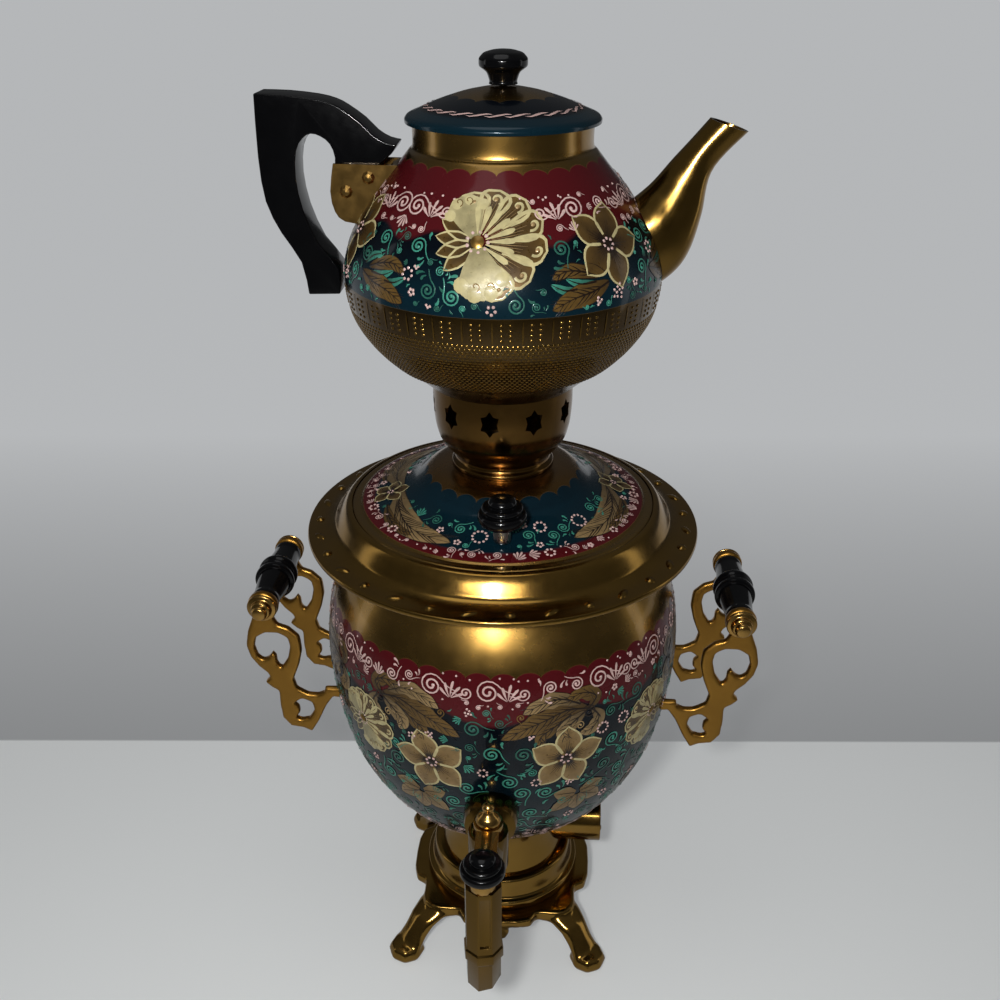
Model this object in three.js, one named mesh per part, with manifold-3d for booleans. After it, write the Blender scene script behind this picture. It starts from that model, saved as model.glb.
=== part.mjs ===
// An electric samovar with its tea-brewing pot, as an assembly of separate pieces.
// Lengths are in millimetres, +Z is up, the table is at z = 0 and the tap faces -Y.
import * as THREE from 'three';
import Module from 'manifold-3d';
import { mergeVertices } from 'three/addons/utils/BufferGeometryUtils.js';

const wasm = await Module();
wasm.setup();

// General clearances and sheet gauges
const seatGap = 0.3;
const looseGap = 0.5;
const overrun = 4;
const weldLength = 0.001;
const sheetWall = 1.6;

// Sides of the round pieces
const bigSides = 24;
const midSides = 16;
const knobSides = 12;
const smallSides = 8;
const hexSides = 6;
const gripSides = 10;
const legSides = 8;
const spoutSides = 12;
const columnSides = 8;

// Steps along the curved outlines
const vesselOuterSteps = 10;
const vesselInnerSteps = 6;
const teapotOuterSteps = 12;
const teapotInnerSteps = 7;
const standOutlineSteps = 3;
const footSteps = 3;
const bossSteps = 6;
const bracketSteps = 1;
const handleSteps = 2;
const heaterLoopSteps = 6;
const heaterPathSteps = 36;
const heaterSectionSteps = 3;

// Base stand
const standTop = 30;
const standWall = 3;
const standHalfWidth = 47;
const standCornerRadius = 12;
const standBulgeReach = 56;
const standBulgeHalfWidth = 24;
const standApronDepth = 9;
const standArchRise = 4;
const standDropRadius = 8;
const standDropBottom = 13;
const legStartReach = 50;
const footReach = 79;
const footRadius = 11.5;
const footSoleRadius = 9;
const footHeight = 11;
const legWidth = 22;
const legThickness = 10;
const coverRadius = 40;
const coverThickness = 2;
const coverScrewReach = 33;
const coverScrewRadius = 1.8;
const coverScrewHeadRadius = 3.6;
const coverScrewHeadHeight = 2;
const coverScrewLength = 6;
const coverBossRadius = 5;

// Pedestal: a stepped foot ring and a waisted neck
const footRingHeight = 20;
const footRingRadius = 47.8;
const pedestalHeight = 37.1;
const pedestalRadius = 38.5;

// Water vessel
const vesselRadius = 99;
const vesselHeight = 174;
const vesselWall = 1.6;
const mouthRadius = 80;
const mouthLipHeight = 12;

// Collar
const collarRadius = 106;
const collarTopRadius = 82.6;
const collarHeight = 30;
const collarRimDrop = 12;

// Samovar lid
const lidRadius = 81.3;
const lidRise = 23.2;
const lidSkirtDepth = 8;
const lidSkirtRadius = 77.4;
const spigotRadius = 21.8;
const spigotHeight = 5;

// Lid knobs
const lidKnobReach = 61;
const lidTurn = 3.3 * Math.PI / 180;
const lidKnobRadius = 12.2;
const lidKnobHeight = 16;
const ferruleRadius = 4.4;
const ferruleHeight = 9;
const studRadius = 1.9;
const lidNutRadius = 4.2;
const lidNutHeight = 4;

// Pierced crown that carries the teapot
const crownRadius = 36.2;
const crownHeight = 46;
const crownWall = 1.6;
const starHeight = 14;
const starWidth = 10.6;
const starRise = 34.5;
const starCount = 10;
const starPoints = 6;
const starNotchShare = 0.7;
const firstStarAngle = -97;

// Teapot
const teapotRadius = 77.4;
const teapotHeight = 126.2;
const teapotWall = 1.6;
const teapotStepDepth = 2;
const spoutWall = 1.5;
const spoutReach = 113;
const spoutHeight = 128.7;
const spoutHalfWidth = 15;
const spoutHoleRadius = 10;
const spoutHoleRise = 70;
const strainerRadius = 13;
const strainerHoleRadius = 2;
const strainerHolePitch = 6.4;

// Teapot handle and its riveted bracket
const handleReach = 115;
const handleHeight = 94;
const handleBottomRise = 44.7;
const handleThickness = 18;
const handleBracketWall = 1.6;
const rivetRadius = 1.8;
const rivetHeadRadius = 3.1;
const rivetHeadHeight = 1.5;

// Teapot lid
const teapotLidRadius = 45.8;
const teapotLidRise = 15.7;
const teapotLidSkirtRadius = 40.2;
const teapotLidSkirtDepth = 8;
const teapotKnobRadius = 11.3;
const teapotKnobHeight = 15.2;
const teapotLidNutRadius = 4.5;
const teapotLidNutHeight = 3;

// Side handles
const gripReach = 130;
const gripRise = 236;
const gripLength = 56;
const gripEndRadius = 7.4;
const gripRingRadius = 11.2;
const rodRadius = 2.4;
const bracketThickness = 4.5;
const bracketOverhang = 12;
const bracketRootReach = 92;
const bracketTipRise = 151;
const bracketRingRadius = 8.6;
const bracketStudRise = 180.5;
const bracketStudRadius = 2.4;
const bracketStudLength = 15;
const saddleNutRadius = 5.5;
const saddleNutThickness = 5;
const endCapRadius = 8.2;
const endCapLength = 9;

// Tap
const tapRise = 153;
const tapBossRadius = 14.5;
const tapBossReach = 107;
const tapPipeRadius = 8;
const tapBoreRadius = 4.5;
const tapShankRadius = 7;
const tapShankEnd = 77;
const plugReach = 116;
const barrelRadius = 10.2;
const barrelTop = 161.2;
const barrelBottom = 137;
const plugTopRadius = 7;
const plugBottomRadius = 5.6;
const plugBoreRadius = 3.4;
const plugShankRadius = 3.2;
const columnOffset = 34.5;
const columnFlats = 17.2;
const columnBottom = 96;
const columnRingTop = 121.5;
const columnRingBottom = 113.5;
const columnRingFlats = 18.8;
const lipFlats = 16.6;
const columnTurn = 10 * Math.PI / 180;
const lipSlantRise = 9;
const panelWidth = 5;
const panelDepth = 1;
const panelTop = 158;
const panelBottom = 126;
const locknutRadius = 13;
const locknutThickness = 5;
const tapGasketRadius = 11;
const leverOverhang = 2;
const leverWidth = 11.4;
const leverHeight = 5.6;
const leverEyeRadius = 7.6;
const finialRadius = 6.4;
const finialHeight = 11.5;
const shankShare = 0.28;
const tapKnobRadius = 10.9;
const tapKnobHeight = 13.5;
const plugNutRadius = 6.5;
const plugNutHeight = 4;
const plugWasherRadius = 8;
const plugWasherThickness = 1.2;

// Heating element
const heaterHoleRadius = 13;
const heaterFlangeRadius = 21;
const heaterFlangeThickness = 4;
const heaterNeckLength = 12;
const heaterGasketThickness = 1.6;
const heaterNutRadius = 19;
const heaterNutHeight = 5;
const heaterTubeRadius = 3.4;
const heaterLegSpacing = 14;
const heaterLoopRadius = 42;
const heaterLoopRise = 20;
const heaterTailLength = 18;

// Mains inlet on the right of the pedestal
const inletRise = 66;
const inletRadius = 14.5;
const inletWall = 1.6;
const inletInner = 31;
const inletReach = 62;
const insulatorThickness = 6;
const inletPinRadius = 2.4;
const inletPinSpacing = 17;
const inletPinInner = 29;
const inletPinReach = 59;

// Reaches worked out from the pieces that they go with
const columnReach = plugReach + columnOffset;
const leverReach = columnReach + leverOverhang;
const bracketReach = gripReach + bracketOverhang;

// Heights worked out from the stack of pieces
const footRingBottom = standTop + seatGap;
const pedestalBottom = footRingBottom + footRingHeight + seatGap;
const vesselBottom = pedestalBottom + pedestalHeight + seatGap;
const vesselShoulder = vesselBottom + vesselHeight;
const collarBottom = vesselShoulder + seatGap;
const lidBottom = collarBottom + collarHeight - sheetWall;
const crownBottom = lidBottom + lidRise + seatGap;
const teapotBottom = crownBottom + crownHeight + seatGap;
const teapotLidBottom = teapotBottom + teapotHeight + seatGap;
const teapotKnobBottom = teapotLidBottom + teapotLidRise + seatGap;

// Profiles as shares of the piece's radius and height, from below upwards
const footRingShares = [[0.985, 0], [1, 0.145], [0.995, 0.315], [0.92, 0.375], [0.9, 0.945], [0.86, 1],
  [0.76, 1]];
const pedestalShares = [[0.98, 0], [0.98, 0.04], [0.912, 0.305], [0.888, 0.566], [0.925, 0.814],
  [1, 0.954], [1, 1]];
const vesselShares = [[0.389, 0], [0.556, 0.05], [0.7, 0.135], [0.8, 0.215], [0.9, 0.335], [0.958, 0.46],
  [0.99, 0.58], [1, 0.69], [0.99, 0.78], [0.966, 0.86], [0.918, 0.93], [0.848, 1]];
const crownShares = [[0.746, 0], [0.746, 0.04], [0.69, 0.07], [0.68, 0.117], [0.76, 0.183], [0.856, 0.27],
  [0.928, 0.365], [0.975, 0.517], [1, 0.735], [1, 1]];
const teapotShares = [[0.49, 0], [0.597, 0.055], [0.735, 0.116], [0.865, 0.2], [0.962, 0.3], [1, 0.415],
  [0.99, 0.51], [0.933, 0.61], [0.838, 0.7], [0.75, 0.775], [0.66, 0.84], [0.58, 0.9], [0.55, 0.925],
  [0.55, 1]];
const lidShares = [[1, 0], [1, 0.05], [0.985, 0.08], [0.945, 0.08], [0.93, 0.13], [0.812, 0.224],
  [0.689, 0.353], [0.59, 0.526], [0.535, 0.707], [0.498, 0.836], [0.449, 0.94], [0.394, 0.987], [0.357, 1]];
const teapotLidShares = [[1, 0], [1.005, 0.1], [0.975, 0.22], [0.87, 0.34], [0.66, 0.6], [0.4, 0.84],
  [0.15, 0.98]];
const ringKnobShares = [[0.66, 0], [0.88, 0.08], [1, 0.24], [1, 0.4], [0.84, 0.5], [0.88, 0.6],
  [0.74, 0.74], [0.58, 0.78], [0.6, 0.86], [0.36, 0.97], [0, 1]];
const potKnobShares = [[0.6, 0], [0.56, 0.1], [0.68, 0.35], [0.97, 0.5], [1, 0.56], [1, 0.74], [0.8, 0.9],
  [0.4, 0.98], [0, 1]];
const finialShares = [[1, 0], [1, 0.14], [0.82, 0.34], [0.5, 0.5], [0.36, 0.62], [0.48, 0.72],
  [0.48, 0.84], [0.3, 0.96], [0, 1]];
const endCapShares = [[1, 0], [1, 0.16], [0.7, 0.26], [0.66, 0.48], [0.46, 0.58], [0.52, 0.76],
  [0.4, 0.94], [0, 1]];

// Collar section: radius as a share from the lid's bore (0) to the rim (1), height as a share of the collar
const collarUpperShares = [[0.93, 0.565], [0.6, 0.575], [0.36, 0.645], [0.28, 0.75], [0.16, 0.9],
  [0.08, 0.975], [0, 1]];
const collarUnderShares = [[0.11, 0.86], [0.22, 0.72], [0.31, 0.59], [0.56, 0.505], [0.9, 0.5]];
const collarRollShares = [[0.92, 0.455], [1, 0.475], [1, 0.54]];

// Turns a three.js geometry into one welded closed mesh whose faces point out
function closed(geometry) {
  geometry.deleteAttribute('normal');
  geometry.deleteAttribute('uv');
  const welded = mergeVertices(geometry, weldLength);
  const source = welded.index.array;
  const kept = [];
  for (let i = 0; i < source.length; i += 3) {
    const [a, b, c] = [source[i], source[i + 1], source[i + 2]];
    if (a !== b && b !== c && c !== a) kept.push(a, b, c);
  }
  if (signedVolume(welded.attributes.position, kept) < 0) kept.reverse();
  welded.setIndex(kept);
  return welded;
}

function signedVolume(position, index) {
  const [a, b, c] = [new THREE.Vector3(), new THREE.Vector3(), new THREE.Vector3()];
  let sum = 0;
  for (let i = 0; i < index.length; i += 3) {
    a.fromBufferAttribute(position, index[i]);
    b.fromBufferAttribute(position, index[i + 1]);
    c.fromBufferAttribute(position, index[i + 2]);
    sum += a.dot(b.cross(c));
  }
  return sum;
}

// Joining and cutting of closed meshes
function solid(geometry) {
  return new wasm.Manifold(new wasm.Mesh({
    numProp: 3,
    vertProperties: new Float32Array(geometry.attributes.position.array),
    triVerts: new Uint32Array(geometry.index.array),
  }));
}

function meshed(manifold) {
  const mesh = manifold.getMesh();
  const geometry = new THREE.BufferGeometry();
  geometry.setAttribute('position', new THREE.BufferAttribute(new Float32Array(mesh.vertProperties), 3));
  geometry.setIndex([...mesh.triVerts]);
  return geometry;
}

function join(first, ...others) {
  return meshed(others.reduce((sum, other) => sum.add(solid(other)), solid(first)));
}

function cut(first, ...tools) {
  return meshed(tools.reduce((rest, tool) => rest.subtract(solid(tool)), solid(first)));
}

function common(first, second) {
  return meshed(solid(first).intersect(solid(second)));
}

function moved(geometry, x, y, z) {
  return geometry.clone().translate(x, y, z);
}

// Profiles are lists of [radius, height] whose outside lies on the right of the way they run
function scaled(shares, radius, height, bottom = 0) {
  return shares.map(([r, z]) => [r * radius, bottom + z * height]);
}

function smooth(points, steps) {
  const curve = new THREE.SplineCurve(points.map(([r, z]) => new THREE.Vector2(r, z)));
  return curve.getPoints(steps).map((point) => [point.x, point.y]);
}

function offset(points, distance) {
  return points.map(([r, z], i) => {
    const before = points[Math.max(i - 1, 0)];
    const after = points[Math.min(i + 1, points.length - 1)];
    const run = [after[0] - before[0], after[1] - before[1]];
    const length = Math.hypot(run[0], run[1]);
    return [Math.max(r + distance * run[1] / length, 0), z - distance * run[0] / length];
  });
}

function revolve(profile, sides) {
  const points = profile.map(([r, z]) => new THREE.Vector2(r, z));
  return closed(new THREE.LatheGeometry(points, sides).rotateX(Math.PI / 2));
}

function ring(profile, sides) {
  return revolve([...profile, profile[0]], sides);
}

// A spun sheet: the outer profile and the same profile moved in by the wall
function spunSheet(outer, wall, sides) {
  return ring([...outer, ...offset(outer, -wall).reverse()], sides);
}

function disc(radius, bottom, top, sides) {
  return revolve([[0, bottom], [radius, bottom], [radius, top], [0, top]], sides);
}

// A round hole whose flats clear a rod of this radius by the seat gap
function boreTool(radius, bottom, top) {
  return disc((radius + seatGap) / Math.cos(Math.PI / smallSides), bottom, top, smallSides);
}

function hexNut(boreRadius, radius, bottom, top) {
  return cut(disc(radius, bottom, top, hexSides), boreTool(boreRadius, bottom - overrun, top + overrun));
}

function tube(innerRadius, outerRadius, bottom, top, sides) {
  return ring([[innerRadius, bottom], [outerRadius, bottom], [outerRadius, top], [innerRadius, top]],
    sides);
}

// Turns a piece made round Z so that its axis runs along +X or towards the tap
function alongX(geometry) {
  return geometry.clone().rotateY(Math.PI / 2);
}

function alongFront(geometry) {
  return geometry.clone().rotateX(Math.PI / 2);
}

// A flat plate in the XZ plane, centred on y = 0
function uprightPlate(shape, thickness) {
  const geometry = new THREE.ExtrudeGeometry(shape, { depth: thickness, steps: 1, bevelEnabled: false });
  return closed(geometry.translate(0, 0, -thickness / 2).rotateX(Math.PI / 2));
}

function levelPlate(shape, bottom, top) {
  const geometry = new THREE.ExtrudeGeometry(shape, { depth: top - bottom, steps: 1, bevelEnabled: false });
  return closed(geometry.translate(0, 0, bottom));
}

// An outline of smooth runs that meet at sharp points, counterclockwise
function runsOutline(runs, stepsPerPoint) {
  const points = [];
  for (const run of runs) {
    const steps = (run.length - 1) * stepsPerPoint;
    const sampled = run.length > 2 ? smooth(run, steps) : run;
    points.push(...sampled.slice(0, -1));
  }
  const outline = points.map(([x, y]) => new THREE.Vector2(x, y));
  return THREE.ShapeUtils.isClockWise(outline) ? outline.reverse() : outline;
}

// A body through rings of points, with flat ends
function loft(rings) {
  const count = rings[0].length;
  const last = (rings.length - 1) * count;
  const index = [];
  for (let i = 0; i + 1 < rings.length; i += 1) {
    for (let j = 0; j < count; j += 1) {
      const [a, b] = [i * count + j, i * count + (j + 1) % count];
      index.push(a, b, b + count, a, b + count, a + count);
    }
  }
  for (let j = 1; j + 1 < count; j += 1) {
    index.push(0, j + 1, j, last, last + j, last + j + 1);
  }
  const geometry = new THREE.BufferGeometry().setFromPoints(rings.flat());
  geometry.setIndex(index);
  return closed(geometry);
}

// Colours and finishes
function metal(color, roughness) {
  return new THREE.MeshStandardMaterial({ color, roughness, metalness: 1 });
}

const goldMetal = metal(0x9a7230, 0.3);
const bronzeMetal = metal(0x6e4420, 0.28);
const brassMetal = metal(0xa9812f, 0.32);
const castBrass = metal(0xb5802f, 0.42);
const steelMetal = metal(0x9a9a98, 0.4);
const blackPlastic = new THREE.MeshStandardMaterial({ color: 0x0c0c0d, roughness: 0.22, metalness: 0 });
const paint = new THREE.MeshStandardMaterial({ color: 0x143346, roughness: 0.25, metalness: 0.1 });
const rubber = new THREE.MeshStandardMaterial({ color: 0x1d1b1a, roughness: 0.8, metalness: 0 });
const ceramic = new THREE.MeshStandardMaterial({ color: 0xd9d3c4, roughness: 0.5, metalness: 0 });

const samovar = new THREE.Group();

function add(name, geometry, material) {
  const mesh = new THREE.Mesh(geometry, material);
  mesh.name = name;
  samovar.add(mesh);
}

// Outer profiles that neighbours are cut to
const vesselCurve = scaled(vesselShares, vesselRadius, vesselHeight, vesselBottom);
const vesselOuter = smooth(vesselCurve, vesselOuterSteps);
const vesselInner = offset(smooth(vesselCurve, vesselInnerSteps), -vesselWall);
const lidOuter = scaled(lidShares, lidRadius, lidRise, lidBottom);
const teapotCurve = scaled(teapotShares, teapotRadius, teapotHeight, teapotBottom);
const teapotOuter = smooth(teapotCurve, teapotOuterSteps);
const teapotInner = offset(smooth(teapotCurve, teapotInnerSteps), -teapotWall);

// The room that a profile fills, grown by a distance
function filled(profile, distance, sides) {
  const grown = offset(profile, distance);
  const low = grown[0][1];
  const high = grown[grown.length - 1][1];
  return revolve([[0, low], ...grown, [0, high]], sides);
}

// The room under the samovar lid's skin, down to below its skirt
function underLid(distance) {
  const grown = offset(lidOuter, distance);
  const low = lidBottom - lidSkirtDepth - overrun;
  return revolve([[0, low], [grown[0][0], low], ...grown, [0, grown[grown.length - 1][1]]], bigSides);
}

// Base stand

function standOutline(inset) {
  const half = standHalfWidth - inset;
  const corner = standCornerRadius - inset;
  const bulge = standBulgeReach - inset;
  const bulgeHalf = standBulgeHalfWidth - inset;
  const shape = new THREE.Shape();
  for (let side = 0; side < 4; side += 1) {
    const turn = side * Math.PI / 2;
    const at = (x, y) => [x * Math.cos(turn) - y * Math.sin(turn), x * Math.sin(turn) + y * Math.cos(turn)];
    const start = at(half, corner - half);
    if (side === 0) shape.moveTo(...start);
    shape.lineTo(...start);
    shape.lineTo(...at(half, -bulgeHalf));
    shape.bezierCurveTo(...at(bulge, -bulgeHalf), ...at(bulge, -bulgeHalf / 2), ...at(bulge, 0));
    shape.bezierCurveTo(...at(bulge, bulgeHalf / 2), ...at(bulge, bulgeHalf), ...at(half, bulgeHalf));
    shape.lineTo(...at(half, half - corner));
    shape.quadraticCurveTo(...at(half, half), ...at(half - corner, half));
  }
  return shape;
}

function outlinePlate(inset, bottom, top) {
  const points = standOutline(inset).getPoints(standOutlineSteps);
  return levelPlate(new THREE.Shape(points), bottom, top);
}

// The side arches between the legs: a wide low cylinder along X or Y
function archTool() {
  const span = standHalfWidth - standCornerRadius;
  const radius = (span * span + standArchRise * standArchRise) / (2 * standArchRise);
  const bottom = standTop - standApronDepth;
  const tool = disc(radius, -standHalfWidth * 2, standHalfWidth * 2, bigSides * 2);
  return alongX(tool).translate(0, 0, bottom + standArchRise - radius);
}

function leg(angle) {
  const reachShares = [0, 0.3, 0.55, 0.75, 0.92, 1.06];
  const heightShares = [0.84, 0.8, 0.67, 0.45, 0.26, 0.18];
  const widthShares = [1.15, 1.05, 0.9, 0.82, 0.9, 0.72];
  const thickShares = [0.8, 0.9, 1, 1.05, 1, 0.5];
  const path = reachShares.map((share, i) => new THREE.Vector2(
    THREE.MathUtils.lerp(legStartReach, footReach, share), heightShares[i] * standTop));
  const rings = path.map((point, i) => {
    const before = path[Math.max(i - 1, 0)];
    const after = path[Math.min(i + 1, path.length - 1)];
    const along = after.clone().sub(before).normalize();
    return Array.from({ length: legSides }, (_, j) => {
      const turn = j * Math.PI * 2 / legSides;
      const side = Math.cos(turn) * widthShares[i] * legWidth / 2;
      const lift = Math.sin(turn) * thickShares[i] * legThickness / 2;
      return new THREE.Vector3(point.x - along.y * lift, side, point.y + along.x * lift);
    });
  });
  const pad = smooth([[footSoleRadius, 0], [footRadius, footHeight * 0.35],
    [footRadius * 0.8, footHeight * 0.8],
    [0, footHeight]], footSteps);
  const foot = revolve([[0, 0], ...pad], smallSides);
  return join(loft(rings), moved(foot, footReach, 0, 0)).rotateZ(angle);
}

// A small round drop hangs from the middle of each bulge
function makeDrop(side) {
  const thickness = standWall * 1.2;
  const drop = alongX(disc(standDropRadius, 0, thickness, smallSides));
  const placed = drop.translate(standBulgeReach - standWall * 1.3, 0, standDropBottom + standDropRadius);
  return placed.rotateZ(side * Math.PI / 2);
}

function makeStand() {
  const skin = outlinePlate(0, standTop - standApronDepth, standTop);
  const hollow = outlinePlate(standWall, -standTop, standTop - standWall);
  const arch = archTool();
  const apron = cut(skin, hollow, arch, arch.clone().rotateZ(Math.PI / 2));
  const legs = [1, 3, 5, 7].map((eighth) => leg(eighth * Math.PI / 4));
  const bosses = coverScrewPlaces().map(([x, y]) => moved(disc(coverBossRadius, coverTop + seatGap,
    standTop - standWall / 2, smallSides), x, y, 0));
  const holeTop = standTop - standWall / 2;
  const holes = coverScrewPlaces().map(([x, y]) => moved(boreTool(coverScrewRadius, 0, holeTop), x, y, 0));
  const centreHole = disc(heaterHoleRadius, -overrun, standTop + overrun, midSides);
  const whole = join(apron, ...[0, 1, 2, 3].map(makeDrop), ...legs, ...bosses);
  return cut(whole, centreHole, ...holes);
}

const coverTop = standTop - standWall * 2 - seatGap;

function coverScrewPlaces() {
  return [1, -1].map((side) => [side * coverScrewReach, 0]);
}

function makeCover() {
  const tool = boreTool(coverScrewRadius, coverTop - overrun, coverTop + overrun);
  const holes = coverScrewPlaces().map(([x, y]) => moved(tool, x, y, 0));
  return cut(disc(coverRadius, coverTop - coverThickness, coverTop, midSides), ...holes);
}

function makeCoverScrew([x, y]) {
  const head = coverTop - coverThickness - seatGap;
  const profile = [[0, head - coverScrewHeadHeight], [coverScrewHeadRadius * 0.7,
    head - coverScrewHeadHeight],
    [coverScrewHeadRadius, head], [coverScrewRadius, head], [coverScrewRadius, head + coverScrewLength],
    [0, head + coverScrewLength]];
  return moved(revolve(profile, smallSides), x, y, 0);
}

add('base_stand', makeStand(), goldMetal);
add('bottom_cover', makeCover(), steelMetal);
coverScrewPlaces().forEach((place, i) => add(`cover_screw_${i + 1}`, makeCoverScrew(place), steelMetal));

// Pedestal and mains inlet

const footRingOuter = scaled(footRingShares, footRingRadius, footRingHeight, footRingBottom);
const pedestalOuter = scaled(pedestalShares, pedestalRadius, pedestalHeight, pedestalBottom);
const inletHole = alongX(disc(inletRadius + seatGap, 0, inletReach, midSides)).translate(0, 0, inletRise);
add('foot_ring', spunSheet(footRingOuter, sheetWall, bigSides), goldMetal);
add('pedestal', cut(spunSheet(pedestalOuter, sheetWall, bigSides), inletHole), goldMetal);

function makeShroud() {
  const inner = inletRadius - inletWall;
  const profile = [[inner, inletInner], [inletRadius, inletInner], [inletRadius, inletReach],
    [inner, inletReach]];
  return alongX(ring(profile, midSides)).translate(0, 0, inletRise);
}

const pinPlaces = [-0.5, 0.5].map((share) => share * inletPinSpacing);

function makeInsulator() {
  const plate = disc(inletRadius - inletWall - seatGap, inletInner, inletInner + insulatorThickness,
    midSides);
  const holes = pinPlaces.map((y) => moved(boreTool(inletPinRadius, 0, inletReach), 0, y, 0));
  return alongX(cut(plate, ...holes)).translate(0, 0, inletRise);
}

function makePin(y) {
  const nose = inletPinReach - inletPinRadius;
  const profile = [[0, inletPinInner], [inletPinRadius, inletPinInner], [inletPinRadius, nose],
    [inletPinRadius / 2, inletPinReach], [0, inletPinReach]];
  return alongX(revolve(profile, smallSides)).translate(0, y, inletRise);
}

add('inlet_shroud', makeShroud(), goldMetal);
add('inlet_insulator', makeInsulator(), ceramic);
add('inlet_pin_front', makePin(pinPlaces[0]), brassMetal);
add('inlet_pin_rear', makePin(pinPlaces[1]), brassMetal);

// Heating element

const vesselFloor = vesselBottom + vesselWall;
const gasketTop = vesselFloor + seatGap + heaterGasketThickness;
const flangeBottom = gasketTop + seatGap;
const flangeTop = flangeBottom + heaterFlangeThickness;
const heaterNeckRadius = heaterHoleRadius - seatGap * 2;
const heaterNeckBottom = flangeBottom - heaterNeckLength;

function legHoles() {
  const tool = boreTool(heaterTubeRadius, heaterNeckBottom - overrun, flangeTop + overrun);
  return [-0.5, 0.5].map((share) => moved(tool, share * heaterLegSpacing, 0, 0));
}

function makeHeaterFlange() {
  const profile = [[0, heaterNeckBottom], [heaterNeckRadius, heaterNeckBottom],
    [heaterNeckRadius, flangeBottom],
    [heaterFlangeRadius, flangeBottom], [heaterFlangeRadius, flangeTop], [0, flangeTop]];
  return cut(revolve(profile, midSides), ...legHoles());
}

// Up through the flange, out to a ring near the floor, round it and back down
function makeHeaterTube() {
  const legX = heaterLegSpacing / 2;
  const loopZ = flangeTop + heaterLoopRise;
  const opening = Math.asin(legX / heaterLoopRadius);
  const half = [];
  half.push(new THREE.Vector3(legX, 0, heaterNeckBottom - heaterTailLength / 2));
  half.push(new THREE.Vector3(legX, 0, flangeBottom));
  half.push(new THREE.Vector3(legX, 0, flangeTop));
  half.push(new THREE.Vector3(legX, 0, flangeTop + heaterLoopRise * 0.45));
  half.push(new THREE.Vector3(legX, heaterLoopRadius / 4, loopZ));
  for (let step = 0; step <= heaterLoopSteps; step += 1) {
    const turn = opening + (Math.PI - opening) * step / (heaterLoopSteps + 1 / 2);
    half.push(new THREE.Vector3(Math.sin(turn), Math.cos(turn), 0).multiplyScalar(heaterLoopRadius)
      .add(new THREE.Vector3(0, 0, loopZ)));
  }
  const mirrored = half.map((point) => new THREE.Vector3(-point.x, point.y, point.z)).reverse();
  const path = new THREE.CatmullRomCurve3([...half, ...mirrored]);
  const circle = new THREE.Path().absarc(0, 0, heaterTubeRadius, 0, Math.PI * 2);
  const section = new THREE.Shape(circle.getPoints(heaterSectionSteps));
  return closed(new THREE.ExtrudeGeometry(section, { steps: heaterPathSteps, extrudePath: path }));
}

add('heater_flange', makeHeaterFlange(), brassMetal);
add('heater_tube', makeHeaterTube(), steelMetal);
add('heater_gasket', tube(heaterHoleRadius, heaterFlangeRadius - looseGap, vesselFloor + seatGap, gasketTop,
  midSides), rubber);
add('heater_nut', cut(disc(heaterNutRadius, vesselBottom - seatGap - heaterNutHeight,
  vesselBottom - seatGap, hexSides),
  disc(heaterNeckRadius + seatGap, 0, vesselBottom + overrun, midSides)), brassMetal);

// Side handles

const bracketPlane = gripLength / 2 + seatGap + bracketThickness / 2;

// Bracket outline: x as a share from the root (0) to the outer loop (1), z from the tip (0) to the grip (1)
const bracketRuns = [
  [[-0.12, 0.4], [0.1, 0.35], [0.24, 0.31], [0.35, 0.315], [0.47, 0.355], [0.5, 0.43], [0.42, 0.55],
    [0.375, 0.66], [0.39, 0.77], [0.5, 0.835], [0.62, 0.86], [0.67, 0.92], [0.66, 1]],
  [[0.66, 1], [0.86, 1]],
  [[0.86, 1], [0.9, 0.9], [0.965, 0.8], [1, 0.69], [0.965, 0.6], [0.88, 0.525], [0.79, 0.475],
    [0.765, 0.44]],
  [[0.765, 0.44], [0.83, 0.4]],
  [[0.83, 0.4], [0.76, 0.36], [0.68, 0.33], [0.685, 0.22], [0.67, 0.11], [0.58, 0.04], [0.44, 0.03],
    [0.34, 0]],
  [[0.34, 0], [0.25, 0.09], [0.15, 0.22], [0.06, 0.3], [-0.12, 0.29]],
  [[-0.12, 0.29], [-0.12, 0.4]],
];
const upperHoleRuns = [
  [[0.63, 0.515], [0.54, 0.6], [0.505, 0.69], [0.52, 0.76], [0.62, 0.795], [0.77, 0.795], [0.88, 0.755],
    [0.91, 0.68], [0.88, 0.605], [0.82, 0.58], [0.76, 0.6], [0.71, 0.64]],
  [[0.71, 0.64], [0.67, 0.61], [0.67, 0.56], [0.63, 0.515]],
];
const lowerHoleRuns = [
  [[0.47, 0.095], [0.36, 0.11], [0.29, 0.18], [0.31, 0.245], [0.42, 0.275], [0.52, 0.235]],
  [[0.52, 0.235], [0.47, 0.2], [0.46, 0.155], [0.515, 0.115], [0.47, 0.095]],
];

function bracketPoints(runs) {
  const place = ([x, z]) => [THREE.MathUtils.lerp(bracketRootReach, bracketReach, x),
    THREE.MathUtils.lerp(bracketTipRise, gripRise, z)];
  return runsOutline(runs.map((run) => run.map(place)), bracketSteps);
}

function makeBracket(sideX, sideY) {
  const shape = new THREE.Shape(bracketPoints(bracketRuns));
  shape.holes = [upperHoleRuns, lowerHoleRuns].map((runs) => new THREE.Path(bracketPoints(runs)));
  const ringDisc = alongFront(disc(bracketRingRadius, -bracketThickness / 2, bracketThickness / 2,
    midSides));
  const rodHole = alongFront(boreTool(rodRadius, -gripLength, gripLength));
  const scroll = join(uprightPlate(shape, bracketThickness), moved(ringDisc, gripReach, 0, gripRise));
  const placed = cut(scroll, moved(rodHole, gripReach, 0, gripRise)).translate(0, -bracketPlane, 0);
  const trimmed = cut(placed, filled(vesselOuter, seatGap, bigSides));
  const stud = makeBracketStud(bracketStudRadius, 0);
  return mirroredPiece(join(trimmed, stud), sideX, sideY);
}

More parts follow.
